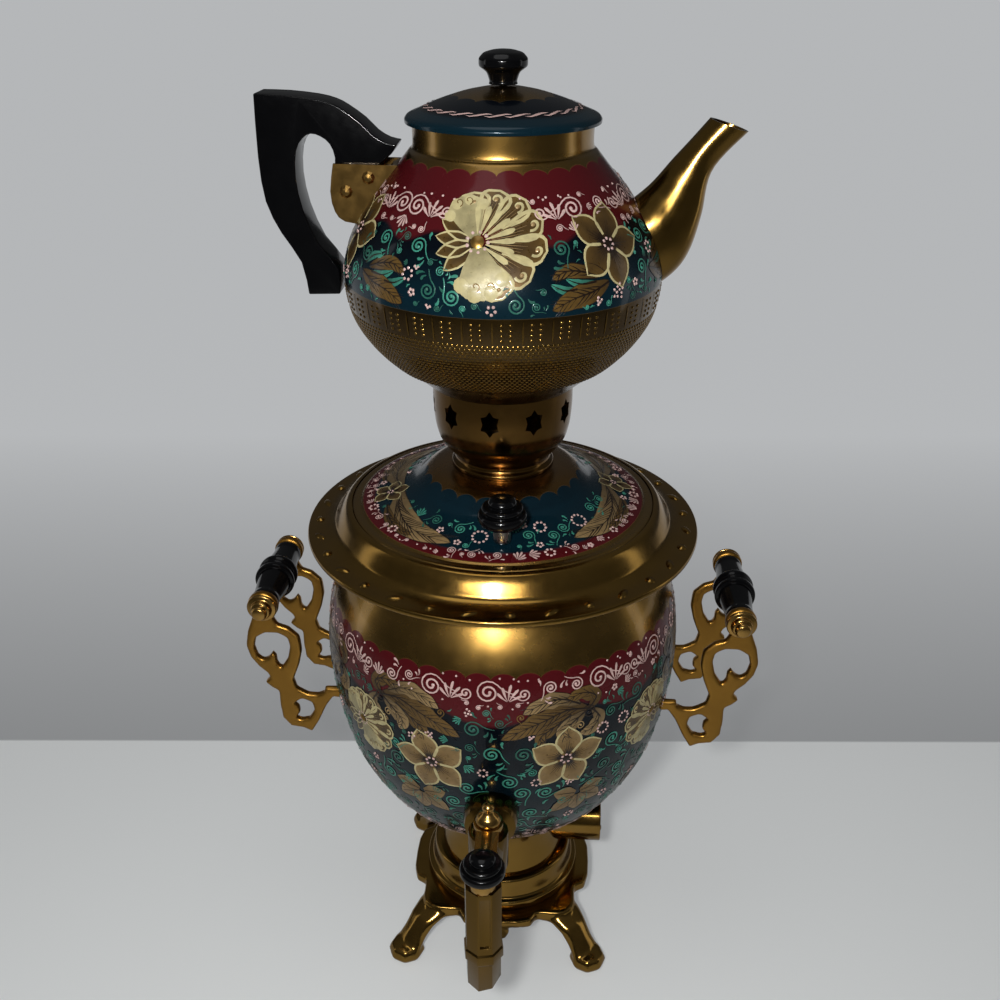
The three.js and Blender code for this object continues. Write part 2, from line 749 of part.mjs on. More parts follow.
// The stud that runs from the bracket's root through the vessel's wall
function makeBracketStud(radius, extra) {
  const start = bracketRootReach + bracketStudLength / 2;
  const stud = disc(radius, -extra, bracketStudLength + extra, smallSides);
  return alongX(stud).translate(start - bracketStudLength, -bracketPlane, bracketStudRise);
}

function makeSaddleNut(sideX, sideY) {
  const wide = saddleNutThickness * 3;
  const blank = alongX(disc(saddleNutRadius, 0, wide, hexSides));
  const placed = blank.translate(bracketRootReach - wide, -bracketPlane, bracketStudRise);
  const inWall = filled(vesselInner, -seatGap, bigSides);
  const core = filled(vesselInner, -seatGap - saddleNutThickness, bigSides);
  const nut = cut(common(placed, inWall), core, makeBracketStud(bracketStudRadius + seatGap, overrun));
  return mirroredPiece(nut, sideX, sideY);
}

function mirroredPiece(geometry, sideX, sideY) {
  return closed(geometry.clone().scale(sideX, sideY, 1));
}

function makeGrip(sideX) {
  const half = gripLength / 2;
  const swell = (gripEndRadius + gripRingRadius) / 2;
  const halfProfile = [[gripEndRadius, 0], [gripEndRadius * 1.04, 0.08], [gripEndRadius, 0.16],
    [swell * 0.97, 0.76],
    [gripRingRadius, 0.8], [gripRingRadius, 0.93], [gripRingRadius * 0.93, 0.97]];
  const lower = halfProfile.map(([r, share]) => [r, share * half - half]);
  const upper = [...lower].reverse().map(([r, z]) => [r, -z]);
  const bore = rodRadius + seatGap;
  const profile = [...lower, ...upper, [bore, half], [bore, -half]];
  return alongFront(ring(profile, gripSides)).translate(sideX * gripReach, 0, gripRise);
}

const capStart = bracketPlane + bracketThickness / 2 + seatGap;

function makeRod(sideX) {
  const half = capStart + endCapLength / 2;
  return alongFront(disc(rodRadius, -half, half, smallSides)).translate(sideX * gripReach, 0, gripRise);
}

function makeEndCap(sideX, sideY) {
  const blank = revolve([[0, 0], ...scaled(endCapShares, endCapRadius, endCapLength)], smallSides);
  const bore = boreTool(rodRadius, -overrun, endCapLength / 2 + seatGap);
  const cap = alongFront(cut(blank, bore)).translate(0, -capStart, 0);
  return mirroredPiece(cap.translate(gripReach, 0, gripRise), sideX, sideY);
}

for (const [side, sideX] of [['left', -1], ['right', 1]]) {
  add(`grip_${side}`, makeGrip(sideX), blackPlastic);
  add(`grip_rod_${side}`, makeRod(sideX), steelMetal);
  for (const [end, sideY] of [['front', 1], ['rear', -1]]) {
    add(`handle_bracket_${side}_${end}`, makeBracket(sideX, sideY), castBrass);
    add(`end_cap_${side}_${end}`, makeEndCap(sideX, sideY), brassMetal);
    add(`saddle_nut_${side}_${end}`, makeSaddleNut(sideX, sideY), brassMetal);
  }
}

// Water vessel

function makeVessel() {
  const lip = [[mouthRadius, vesselShoulder], [mouthRadius, vesselShoulder + mouthLipHeight]];
  const outer = [...vesselOuter, ...lip];
  const inner = vesselInner.slice(1, -1);
  const bore = mouthRadius - vesselWall;
  const shoulder = vesselShoulder - vesselWall;
  const profile = [[0, vesselBottom], ...outer, [bore, vesselShoulder + mouthLipHeight], [bore, shoulder],
    ...inner.reverse(), [vesselOuter[0][0] - vesselWall, vesselFloor], [0, vesselFloor]];
  const studHoles = [[1, 1], [1, -1], [-1, 1], [-1, -1]].map(([sideX, sideY]) => mirroredPiece(
    makeBracketStud(bracketStudRadius + seatGap, overrun), sideX, sideY));
  const tapHole = alongFront(disc(tapShankRadius + seatGap, vesselRadius / 2, vesselRadius, midSides));
  return cut(revolve(profile, bigSides), disc(heaterHoleRadius, 0, vesselFloor + overrun, midSides),
    tapHole.translate(0, 0, tapRise), ...studHoles);
}

add('vessel', makeVessel(), paint);

// Collar: one folded sheet with a rolled rim, a steep wall and a neck round the mouth
function makeCollar() {
  const neckInner = mouthRadius + seatGap;
  const neckOuter = neckInner + sheetWall;
  const bore = lidRadius + seatGap;
  const top = collarBottom + collarHeight;
  const ledge = lidBottom - seatGap;
  const place = ([r, z]) => [THREE.MathUtils.lerp(collarTopRadius, collarRadius, r),
    collarBottom + z * collarHeight];
  const ledgeInner = lidSkirtRadius + looseGap;
  const profile = [...collarUpperShares.map(place), [bore, top - weldLength], [bore, ledge],
    [ledgeInner, ledge],
    [ledgeInner, ledge - sheetWall], [neckInner, ledge - sheetWall], [neckInner, collarBottom],
    [neckOuter, collarBottom], [neckOuter, collarBottom + collarHeight - collarRimDrop],
    ...collarUnderShares.map(place), ...collarRollShares.map(place)];
  return ring(profile, bigSides);
}

add('collar', makeCollar(), goldMetal);

// Samovar lid

function makeLid() {
  const inner = offset(lidOuter, -sheetWall).slice(4);
  const skirtInner = lidSkirtRadius - sheetWall;
  const skirtBottom = lidBottom - lidSkirtDepth;
  const hump = lidOuter[lidOuter.length - 1][1];
  const under = hump - sheetWall;
  const spigotTop = hump + spigotHeight;
  const profile = [[0, spigotTop - sheetWall], [spigotRadius - sheetWall, spigotTop - sheetWall],
    [spigotRadius - sheetWall, under], ...inner.slice(0, -1).reverse(), [skirtInner, lidBottom],
    [skirtInner, skirtBottom], [lidSkirtRadius, skirtBottom], [lidSkirtRadius, lidBottom], ...lidOuter,
    [spigotRadius, hump], [spigotRadius, spigotTop], [0, spigotTop]];
  const studHoles = knobPlaces.map((y) => onLid(boreTool(studRadius, 0, crownBottom), y));
  return cut(revolve(profile, bigSides), ...studHoles);
}

const knobPlaces = [-lidKnobReach, lidKnobReach];
const knobSeat = lidHeightAt(lidKnobReach);
const lidKnobBottom = knobSeat + ferruleHeight + seatGap;

function lidHeightAt(radius) {
  const i = lidOuter.findIndex(([r]) => r < radius);
  const [[r1, z1], [r2, z2]] = [lidOuter[i - 1], lidOuter[i]];
  return z1 + (z2 - z1) * (r1 - radius) / (r1 - r2);
}

function onLid(shape, y) {
  return moved(shape, 0, y, 0).rotateZ(lidTurn);
}

function makeFerrule(y) {
  const low = knobSeat - ferruleRadius;
  const blank = tube(studRadius + seatGap, ferruleRadius, low, knobSeat + ferruleHeight, smallSides);
  return cut(onLid(blank, y), underLid(seatGap));
}

function ringKnob(radius, height, bottom, stemRadius, stemLength) {
  const head = scaled(ringKnobShares, radius, height, bottom);
  const foot = bottom - stemLength;
  return revolve([[0, foot], [stemRadius, foot], [stemRadius, bottom], ...head], knobSides);
}

function makeLidNut(y) {
  const blank = hexNut(studRadius, lidNutRadius, knobSeat - lidNutHeight * 2, knobSeat);
  return common(onLid(blank, y), underLid(-sheetWall - seatGap));
}

add('lid', makeLid(), paint);
for (const [end, y] of [['front', knobPlaces[0]], ['rear', knobPlaces[1]]]) {
  const stem = ferruleHeight + lidNutHeight * 2 + sheetWall;
  add(`knob_ferrule_${end}`, makeFerrule(y), steelMetal);
  const knob = ringKnob(lidKnobRadius, lidKnobHeight, lidKnobBottom, studRadius, stem);
  add(`lid_knob_${end}`, onLid(knob, y), blackPlastic);
  add(`lid_knob_nut_${end}`, makeLidNut(y), brassMetal);
}

// Pierced crown

function makeStar(angle) {
  const points = Array.from({ length: starPoints * 2 }, (_, i) => {
    const reach = i % 2 === 0 ? 1 : starNotchShare;
    const turn = i * Math.PI / starPoints + Math.PI / 2;
    return new THREE.Vector2(Math.cos(turn) * reach * starWidth / 2,
      Math.sin(turn) * reach * starHeight / 2);
  });
  const depth = crownRadius;
  const prism = new THREE.ExtrudeGeometry(new THREE.Shape(points), { depth, steps: 1,
    bevelEnabled: false });
  const upright = closed(prism.rotateX(Math.PI / 2).rotateZ(Math.PI / 2).translate(crownRadius / 2, 0, 0));
  return upright.rotateZ(angle * Math.PI / 180).translate(0, 0, crownBottom + starRise);
}

function makeCrown() {
  const outer = scaled(crownShares, crownRadius, crownHeight, crownBottom);
  const stars = Array.from({ length: starCount }, (_, i) => makeStar(firstStarAngle + i * 360 / starCount));
  return cut(spunSheet(outer, crownWall, starCount * 2), ...stars);
}

add('crown', makeCrown(), bronzeMetal);

// Teapot

function makeTeapotBody() {
  const step = crownRadius - crownWall - looseGap * 2;
  const stepBottom = teapotBottom - teapotStepDepth;
  const inner = teapotInner.map(([r, z]) => [r, Math.min(z, teapotBottom + teapotHeight)]);
  const profile = [[0, stepBottom], [step, stepBottom], [step, teapotBottom], ...teapotOuter,
    ...inner.slice(1).reverse(),
    [step, teapotBottom + teapotWall], [0, teapotBottom + teapotWall]];
  const hole = alongX(disc(spoutHoleRadius, teapotRadius / 2, teapotRadius, midSides));
  return cut(revolve(profile, bigSides), moved(hole, 0, 0, teapotBottom + spoutHoleRise));
}

// Spout: rings between its upper and its lower edge, as shares of its reach and height
const spoutUpperShares = [[0.5, 0.68], [0.59, 0.745], [0.64, 0.79], [0.7, 0.855], [0.77, 0.925],
  [0.842, 1]];
const spoutLowerShares = [[0.62, 0.36], [0.74, 0.445], [0.8, 0.53], [0.838, 0.66], [0.868, 0.82],
  [1, 0.955]];
const spoutWidthShares = [1.05, 0.95, 0.8, 0.64, 0.52, 0.5];

function spoutSkin(inset, endRun) {
  const last = spoutUpperShares.length - 1;
  const place = ([x, z]) => new THREE.Vector3(x * spoutReach, 0, teapotBottom + z * spoutHeight);
  const rings = spoutUpperShares.map((upperShare, i) => {
    const [upper, lower] = [place(upperShare), place(spoutLowerShares[i])];
    const middle = upper.clone().add(lower).multiplyScalar(0.5);
    const along = upper.clone().sub(lower);
    const halfHeight = along.length() / 2 - inset;
    along.normalize();
    const halfWidth = spoutWidthShares[i] * spoutHalfWidth - inset;
    const out = new THREE.Vector3(-along.z, 0, along.x).multiplyScalar(i === last ? -endRun : 0);
    return Array.from({ length: spoutSides }, (_, j) => {
      const turn = j * Math.PI * 2 / spoutSides;
      return middle.clone().add(out).addScaledVector(along, Math.cos(turn) * halfHeight)
        .add(new THREE.Vector3(0, Math.sin(turn) * halfWidth, 0));
    });
  });
  return loft(rings);
}

function makeSpout() {
  return cut(spoutSkin(0, 0), spoutSkin(spoutWall, seatGap), filled(teapotOuter, seatGap, bigSides));
}

// A pierced plate soldered behind the spout, shaped to the inside of the pot's wall
function makeStrainer() {
  const blank = alongX(disc(strainerRadius, teapotRadius / 2, teapotRadius, midSides));
  const tool = alongX(disc(strainerHoleRadius, 0, teapotRadius, hexSides));
  const pitch = strainerHolePitch;
  const holes = [[0, 0], [pitch, 0], [-pitch, 0], [0, pitch], [0, -pitch]].map(([y, z]) => (
    moved(tool, 0, y, z + spoutHoleRise + teapotBottom)));
  const plate = common(moved(blank, 0, 0, teapotBottom + spoutHoleRise), filled(teapotInner, -seatGap,
    bigSides));
  return cut(plate, filled(teapotInner, -seatGap - teapotWall, bigSides), ...holes);
}

// Handle outline: x as a share of the reach from the pot's axis, z as a share of the handle's height
const handleRuns = [
  [[-0.995, 1], [-0.88, 0.997], [-0.76, 0.982], [-0.69, 0.962], [-0.64, 0.932], [-0.57, 0.872],
    [-0.52, 0.812], [-0.47, 0.777], [-0.425, 0.766]],
  [[-0.425, 0.766], [-0.45, 0.72], [-0.5, 0.67]],
  [[-0.5, 0.67], [-0.66, 0.47]],
  [[-0.66, 0.47], [-0.68, 0.5], [-0.688, 0.61], [-0.682, 0.7], [-0.7, 0.765], [-0.735, 0.8],
    [-0.775, 0.813], [-0.81, 0.79], [-0.84, 0.73], [-0.85, 0.6], [-0.83, 0.44], [-0.775, 0.27],
    [-0.695, 0.14], [-0.697, 0.005]],
  [[-0.697, 0.005], [-0.833, 0]],
  [[-0.833, 0], [-0.855, 0.17], [-0.93, 0.32], [-0.985, 0.48], [-1, 0.7], [-0.995, 1]],
];
const handleBracketRuns = [
  [[-0.688, 0.675], [-0.42, 0.67]],
  [[-0.42, 0.67], [-0.56, 0.375]],
  [[-0.56, 0.375], [-0.652, 0.39], [-0.692, 0.44], [-0.706, 0.54], [-0.688, 0.675]],
];
const rivetShares = [[-0.545, 0.61], [-0.64, 0.54]];

function handlePoint([x, z]) {
  return [x * handleReach, teapotBottom + handleBottomRise + z * handleHeight];
}

function handleShape(runs) {
  return new THREE.Shape(runsOutline(runs.map((run) => run.map(handlePoint)), handleSteps));
}

const cheekInner = handleThickness + seatGap * 2;
const cheekOuter = cheekInner + handleBracketWall * 2;

function rivetHoles() {
  const tool = alongFront(boreTool(rivetRadius, -cheekOuter, cheekOuter));
  return rivetShares.map(handlePoint).map(([x, z]) => moved(tool, x, 0, z));
}

function makeTeapotHandle() {
  const web = filled(teapotOuter, seatGap * 2 + handleBracketWall, bigSides);
  return cut(uprightPlate(handleShape(handleRuns), handleThickness), web, ...rivetHoles());
}

function makeHandleBracket() {
  const shape = handleShape(handleBracketRuns);
  const pocket = cut(uprightPlate(shape, cheekInner), filled(teapotOuter, seatGap + handleBracketWall,
    bigSides));
  const wide = moved(pocket, -overrun, 0, 0);
  return cut(uprightPlate(shape, cheekOuter), filled(teapotOuter, seatGap, bigSides), pocket,
    common(wide, uprightPlate(handleShape(handleRuns), cheekInner)), ...rivetHoles());
}

function makeRivet([x, z]) {
  const start = cheekOuter / 2 + seatGap;
  const profile = [[0, -start - rivetHeadHeight], [rivetHeadRadius * 0.6, -start - rivetHeadHeight * 0.85],
    [rivetHeadRadius, -start], [rivetRadius, -start], [rivetRadius, start], [rivetHeadRadius, start],
    [rivetHeadRadius * 0.6, start + rivetHeadHeight * 0.85], [0, start + rivetHeadHeight]];
  return alongFront(revolve(profile, smallSides)).translate(x, 0, z);
}

add('teapot_body', makeTeapotBody(), paint);
add('teapot_spout', makeSpout(), goldMetal);
add('tea_strainer', makeStrainer(), brassMetal);
add('teapot_handle', makeTeapotHandle(), blackPlastic);
add('teapot_handle_bracket', makeHandleBracket(), brassMetal);
rivetShares.map(handlePoint).forEach((place, i) => add(`handle_rivet_${i + 1}`, makeRivet(place),
  brassMetal));

// Teapot lid

function makeTeapotLid() {
  const outer = scaled(teapotLidShares, teapotLidRadius, teapotLidRise, teapotLidBottom);
  const top = teapotLidBottom + teapotLidRise;
  const skirtInner = teapotLidSkirtRadius - teapotWall;
  const skirtBottom = teapotLidBottom - teapotLidSkirtDepth;
  const inner = offset(outer, -teapotWall).slice(3);
  const profile = [[0, top - teapotWall], ...inner.reverse(), [skirtInner, teapotLidBottom + teapotWall],
    [skirtInner, skirtBottom], [teapotLidSkirtRadius, skirtBottom], [teapotLidSkirtRadius, teapotLidBottom],
    ...outer, [0, top]];
  return cut(revolve(profile, bigSides), boreTool(studRadius, 0, top + overrun));
}

function makeTeapotKnob() {
  const stemBottom = teapotKnobBottom - teapotWall - teapotLidNutHeight * 1.6;
  const head = scaled(potKnobShares, teapotKnobRadius, teapotKnobHeight, teapotKnobBottom);
  return revolve([[0, stemBottom], [studRadius, stemBottom], [studRadius, teapotKnobBottom], ...head],
    knobSides);
}

const potNutTop = teapotKnobBottom - teapotWall - seatGap * 2;
add('teapot_lid', makeTeapotLid(), paint);
add('teapot_lid_knob', makeTeapotKnob(), blackPlastic);
add('teapot_lid_nut', hexNut(studRadius, teapotLidNutRadius, potNutTop - teapotLidNutHeight, potNutTop),
  brassMetal);

// Tap

function cornerRadius(flats) {
  return flats / 2 / Math.cos(Math.PI / columnSides);
}

function octagon(flats, bottom, top) {
  return disc(cornerRadius(flats), bottom, top, columnSides).rotateZ(Math.PI / columnSides);
}

function makeTapBody() {
  const bossStart = vesselRadius / 2;
  const boss = smooth([[tapBossRadius, bossStart], [tapBossRadius, tapBossReach - tapBossRadius * 0.6],
    [tapPipeRadius * 1.5, tapBossReach - tapBossRadius * 0.14], [tapPipeRadius, tapBossReach]], bossSteps);
  const bossSolid = revolve([[0, bossStart], ...boss, [0, tapBossReach]], midSides);
  const seated = cut(alongFront(bossSolid).translate(0, 0, tapRise), filled(vesselOuter, seatGap,
    bigSides));
  const pipe = alongFront(disc(tapPipeRadius, vesselRadius, columnReach, smallSides)).translate(0, 0,
    tapRise);
  const shank = alongFront(disc(tapShankRadius, tapShankEnd, tapBossReach, midSides)).translate(0, 0,
    tapRise);
  const barrel = revolve([[0, barrelBottom], [barrelRadius * 0.86, barrelBottom],
    [barrelRadius, barrelBottom + seatGap * 8],
    [barrelRadius, barrelTop], [0, barrelTop]], midSides);
  const column = octagon(columnFlats, columnRingTop, barrelTop);
  const lip = octagon(lipFlats, columnBottom, columnRingBottom);
  const ringTaper = (columnRingFlats - columnFlats) / 2;
  const ringProfile = [[0, columnRingBottom], [lipFlats, columnRingBottom],
    [columnRingFlats, columnRingBottom + ringTaper * 2], [columnRingFlats, columnRingTop - ringTaper],
    [columnFlats, columnRingTop], [0, columnRingTop]].map(([flats, z]) => [cornerRadius(flats), z]);
  const ringSolid = revolve(ringProfile, columnSides).rotateZ(Math.PI / columnSides);
  const slant = slantTool().rotateZ(-Math.PI / columnSides);
  const panel = panelTool();
  const front = join(column, ringSolid, cut(lip, slant));
  const spout = cut(front, panel).rotateZ(columnTurn);
  const housing = moved(barrel, 0, -plugReach, 0);
  const outerBody = join(seated, pipe, shank, housing, moved(spout, 0, -columnReach, 0));
  const channel = alongFront(disc(tapBoreRadius, 0, columnReach, smallSides)).translate(0, 0, tapRise);
  const outlet = disc(tapBoreRadius, 0, tapRise, smallSides);
  const seat = moved(plugCone(seatGap), 0, -plugReach, 0);
  return cut(outerBody, channel, moved(outlet, 0, -columnReach, 0), seat);
}

// Cuts the lip so that its front runs lowest, to a point
function slantTool() {
  const half = lipFlats;
  const low = columnBottom - overrun;
  const profile = new THREE.Shape([new THREE.Vector2(-cornerRadius(lipFlats), columnBottom),
    new THREE.Vector2(half, columnBottom + lipSlantRise * 1.5), new THREE.Vector2(half, low),
    new THREE.Vector2(-half, low)]);
  return uprightPlate(profile, half * 2).rotateZ(Math.PI / 2);
}

function panelTool() {
  const block = new THREE.BoxGeometry(panelWidth, panelDepth * 2, panelTop - panelBottom);
  return closed(block.translate(0, -columnFlats / 2, (panelTop + panelBottom) / 2));
}

function plugCone(gap) {
  return revolve([[0, barrelBottom - overrun], [plugBottomRadius + gap, barrelBottom - overrun],
    [plugTopRadius + gap, barrelTop + (gap > 0 ? overrun : 0)], [0,
    barrelTop + (gap > 0 ? overrun : 0)]], midSides);
}

const leverBottom = barrelTop + seatGap;
const leverTop = leverBottom + leverHeight;
const washerTop = barrelBottom - seatGap;
const plugNutTop = washerTop - plugWasherThickness - seatGap;
const plugTailRadius = plugShankRadius;
const plugTailBottom = plugNutTop - plugNutHeight - seatGap * 2;

function makePlug() {
  const shankTop = leverTop + finialHeight * shankShare;
  const profile = [[0, plugTailBottom], [plugTailRadius, plugTailBottom],
    [plugTailRadius, barrelBottom + seatGap],
    [plugBottomRadius, barrelBottom + seatGap], [plugTopRadius, barrelTop], [plugShankRadius, barrelTop],
    [plugShankRadius, shankTop], [0, shankTop]];
  const bore = alongX(disc(plugBoreRadius, -plugTopRadius * 2, plugTopRadius * 2, smallSides));
  return moved(cut(revolve(profile, midSides), moved(bore, 0, 0, tapRise)), 0, -plugReach, 0);
}

// Eight-sided arm from the eye round the plug's shank to the knob
function makeLever() {
  const arm = octagon(leverWidth, plugReach, leverReach);
  const flat = closed(alongFront(arm).scale(1, 1, leverHeight / leverWidth))
    .translate(0, 0, (leverBottom + leverTop) / 2);
  const eye = moved(disc(leverEyeRadius, leverBottom, leverTop, midSides), 0, -plugReach, 0);
  const pad = moved(disc(leverEyeRadius * 0.9, leverBottom, leverTop, midSides), 0, -leverReach, 0);
  const shankHole = boreTool(plugShankRadius, 0, leverTop + overrun);
  const studHole = boreTool(studRadius, 0, leverTop + overrun);
  return cut(join(flat, eye, pad), moved(shankHole, 0, -plugReach, 0), moved(studHole, 0, -leverReach, 0));
}

function makeFinial() {
  const bottom = leverTop + seatGap;
  const blank = revolve([[0, bottom], ...scaled(finialShares, finialRadius, finialHeight, bottom)],
    knobSides);
  const bore = boreTool(plugShankRadius, 0, leverTop + finialHeight * shankShare + seatGap);
  return moved(cut(blank, bore), 0, -plugReach, 0);
}

function makeTapLocknut() {
  const start = tapNutFace();
  const nut = cut(disc(locknutRadius, start - locknutThickness, start, hexSides),
    disc(tapShankRadius + seatGap, 0, vesselRadius, midSides));
  return alongFront(nut).translate(0, 0, tapRise);
}

// The lock nut's face clears the sloping wall at its lower edge
function tapNutFace() {
  const low = vesselInner.find(([, z]) => z > tapRise - locknutRadius * 2);
  return low[0] - seatGap * 2 - locknutRadius * 0.1;
}

function makeTapGasket() {
  const blank = alongFront(tube(tapShankRadius + seatGap, tapGasketRadius, tapNutFace() + seatGap,
    vesselRadius,
    midSides));
  return common(blank.translate(0, 0, tapRise), filled(vesselInner, -seatGap, bigSides));
}

add('tap_body', makeTapBody(), goldMetal);
add('tap_locknut', makeTapLocknut(), brassMetal);
add('tap_gasket', makeTapGasket(), rubber);
add('tap_plug', makePlug(), brassMetal);
add('tap_lever', makeLever(), brassMetal);
add('tap_finial', makeFinial(), brassMetal);
add('tap_knob', moved(ringKnob(tapKnobRadius, tapKnobHeight, leverTop + seatGap, studRadius,
  leverHeight), 0,
  -leverReach, 0), blackPlastic);
add('plug_washer', moved(tube(plugTailRadius + seatGap, plugWasherRadius,
  washerTop - plugWasherThickness, washerTop,
  midSides), 0, -plugReach, 0), brassMetal);
add('plug_nut', moved(hexNut(plugTailRadius, plugNutRadius, plugNutTop - plugNutHeight, plugNutTop), 0,
  -plugReach,
  0), brassMetal);

// The origin lies on the table under the middle of the whole outline, so the pieces move back from the tap
samovar.position.y = (leverReach + tapKnobRadius - collarRadius) / 2;

export default samovar;
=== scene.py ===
"""The finish of a painted electric samovar and its teapot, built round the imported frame."""

import math

import bmesh
import bpy
import numpy as np
from mathutils import Matrix, Vector


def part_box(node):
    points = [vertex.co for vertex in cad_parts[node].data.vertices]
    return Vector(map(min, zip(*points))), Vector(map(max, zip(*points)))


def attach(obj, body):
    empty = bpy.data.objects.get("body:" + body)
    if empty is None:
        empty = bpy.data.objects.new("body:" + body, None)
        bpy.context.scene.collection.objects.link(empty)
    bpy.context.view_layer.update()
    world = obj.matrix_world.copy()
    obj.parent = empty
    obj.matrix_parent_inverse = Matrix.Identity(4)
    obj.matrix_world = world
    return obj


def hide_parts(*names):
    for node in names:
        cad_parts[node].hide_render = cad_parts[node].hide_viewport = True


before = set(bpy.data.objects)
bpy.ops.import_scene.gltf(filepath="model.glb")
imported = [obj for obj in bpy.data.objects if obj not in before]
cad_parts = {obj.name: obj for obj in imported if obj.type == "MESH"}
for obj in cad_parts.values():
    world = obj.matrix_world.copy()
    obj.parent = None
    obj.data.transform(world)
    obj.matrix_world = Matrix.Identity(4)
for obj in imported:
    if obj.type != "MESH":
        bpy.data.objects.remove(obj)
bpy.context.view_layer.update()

bl_info = {
    "name": "Painted Samovar",
    "version": (1, 0, 0),
    "blender": (4, 5, 0),
    "location": "View3D > Sidebar > Samovar",
    "description": "Builds the finish of a painted samovar with its teapot round the packed frame",
    "category": "Object",
}

MM = 0.001
AXIS_Y = sum(corner.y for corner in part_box("vessel")) / 2


def tone(code):
    """A linear colour from a six-digit sRGB code."""
    shares = [int(code[i:i + 2], 16) / 255 for i in (0, 2, 4)]
    return tuple(c / 12.92 if c <= 0.04045 else ((c + 0.055) / 1.055) ** 2.4 for c in shares)


def colour(name, description, code):
    """A colour setting whose default is an sRGB code."""
    return bpy.props.FloatVectorProperty(
        name=name, description=description, subtype="COLOR", size=3, min=0, max=1, default=tone(code))


def length(name, description, default):
    """A length setting in metres."""
    return bpy.props.FloatProperty(name=name, description=description, unit="LENGTH", min=0, default=default)


def count_of(name, description, low, high, default):
    """A setting that counts something."""
    return bpy.props.IntProperty(name=name, description=description, min=low, max=high, default=default)


class SamovarColours(bpy.types.PropertyGroup):
    """Colours of the metals, the paint and the plastic."""

    gold: colour("Gold", "Lacquered gold-coloured sheet", "947339")
    gold_shade: colour("Gold shade", "Darker patches of the gold sheet", "6f5024")
    bronze: colour("Bronze", "Dark bronze of the crown and the lid's hump", "8c6836")
    brass: colour("Brass", "Turned brass of the caps and the tap", "b08a4c")
    cast_brass: colour("Cast brass", "Cast brass of the scroll brackets", "a07634")
    steel: colour("Steel", "Bare steel", "a0a09c")
    plastic: colour("Plastic", "Black moulded plastic", "040405")
    rubber: colour("Rubber", "Seals", "1e1c1b")
    insulator: colour("Insulator", "Plate that holds the pins", "d6d0c0")
    crimson: colour("Crimson", "Upper painted band", "4e1015")
    navy: colour("Navy", "Dark field of the painting", "030810")
    teal: colour("Teal", "Lower part of the dark field", "08212b")
    cream: colour("Cream", "Light petals and outlines", "b9ad7e")
    rose: colour("Rose", "Light scrolls on the crimson band", "c8a8a2")
    scroll: colour("Scroll green", "Scrolls on the dark field", "398572")
    tan: colour("Tan", "Petals of the five-petal flowers", "9a8056")
    leaf: colour("Leaf", "Bronze leaves", "765a2c")
    leaf_dark: colour("Leaf shade", "Roots and veins of the leaves", "1b110a")
    floor: colour("Table", "Pale table top", "c9cbc9")
    room: colour("Room", "Soft grey of the room", "c6c8ca")


class SamovarSizes(bpy.types.PropertyGroup):
    """Sizes of the finish that the frame doesn't give."""

    sides: count_of("Sides", "Sides of the large turned pieces", 24, 256, 128)
    small_sides: count_of("Small sides", "Sides of the small turned pieces", 12, 128, 48)
    sheet: length("Sheet", "Thickness of the spun sheet", 1.6 * MM)
    lip: length("Mouth lip", "Height of the lip on the vessel's mouth", 12 * MM)
    scallops: count_of("Scallops", "Scallops round the vessel's gold shoulder", 8, 96, 48)
    beads: count_of("Beads", "Embossed marks round the collar, round and slanted in turn", 8, 64, 32)


class SamovarView(bpy.types.PropertyGroup):
    """Where the camera stands."""

    distance: length("Distance", "Level distance from the vessel's axis", 535 * MM)
    height: length("Height", "Height above the table", 562 * MM)
    swing: bpy.props.FloatProperty(
        name="Swing", description="Swing to the right of the tap", subtype="ANGLE", default=math.radians(3.5))
    pitch: bpy.props.FloatProperty(
        name="Pitch", description="How far the camera looks down", subtype="ANGLE", default=math.radians(27))
    aside: bpy.props.FloatProperty(
        name="Aside", description="How far it looks past the axis to the left", subtype="ANGLE",
        default=math.radians(0.16))
    lens: bpy.props.FloatProperty(name="Lens", description="Focal length", unit="CAMERA", min=1, default=39.6)


def sizes():
    """The finish's sizes."""
    return bpy.context.scene.samovar_sizes


def palette():
    """The colours."""
    return bpy.context.scene.samovar_colours


def box(node):
    """The lowest and highest corner of a frame node, measured from the vessel's axis."""
    low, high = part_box(node)
    return Vector((low.x, low.y - AXIS_Y, low.z)), Vector((high.x, high.y - AXIS_Y, high.z))


def middle(node):
    """The middle of a frame node."""
    low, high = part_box(node)
    return (low + high) / 2


# Outlines and turned shapes


def scaled(shares, radius, height, bottom):
    """An outline from shares of a radius and a height."""
    return [(r * radius, bottom + z * height) for r, z in shares]


def flowing(points, steps):
    """A smooth line through the points, the same number of steps in each stretch."""
    line = np.array(points, float)
    padded = np.vstack([line[0], line, line[-1]])
    out = []
    for i in range(1, len(padded) - 2):
        a, b, c, d = padded[i - 1:i + 3]
        for t in np.linspace(0, 1, steps, endpoint=False):
            out.append(0.5 * (2 * b + (c - a) * t + (2 * a - 5 * b + 4 * c - d) * t ** 2
                              + (3 * b - a - 3 * c + d) * t ** 3))
    return [tuple(p) for p in out] + [tuple(line[-1])]


def softened(points, share, steps=4):
    """The same line with each corner rounded over a share of its two sides, in some steps."""
    line = [np.array(p, float) for p in points]
    out = [line[0]]
    for before, corner, after in zip(line, line[1:], line[2:]):
        start, end = corner + (before - corner) * share, corner + (after - corner) * share
        for t in np.linspace(0, 1, steps):
            out.append((1 - t) ** 2 * start + 2 * t * (1 - t) * corner + t ** 2 * end)
    return [tuple(p) for p in out + [line[-1]]]


def inside(points, wall):
    """The outline moved in by the wall's thickness."""
    line = np.array(points, float)
    run = np.gradient(line, axis=0)
    run /= np.linalg.norm(run, axis=1)[:, None]
    moved = line + wall * np.stack([-run[:, 1], run[:, 0]], axis=1)
    return [(max(r, 0.0), z) for r, z in moved]


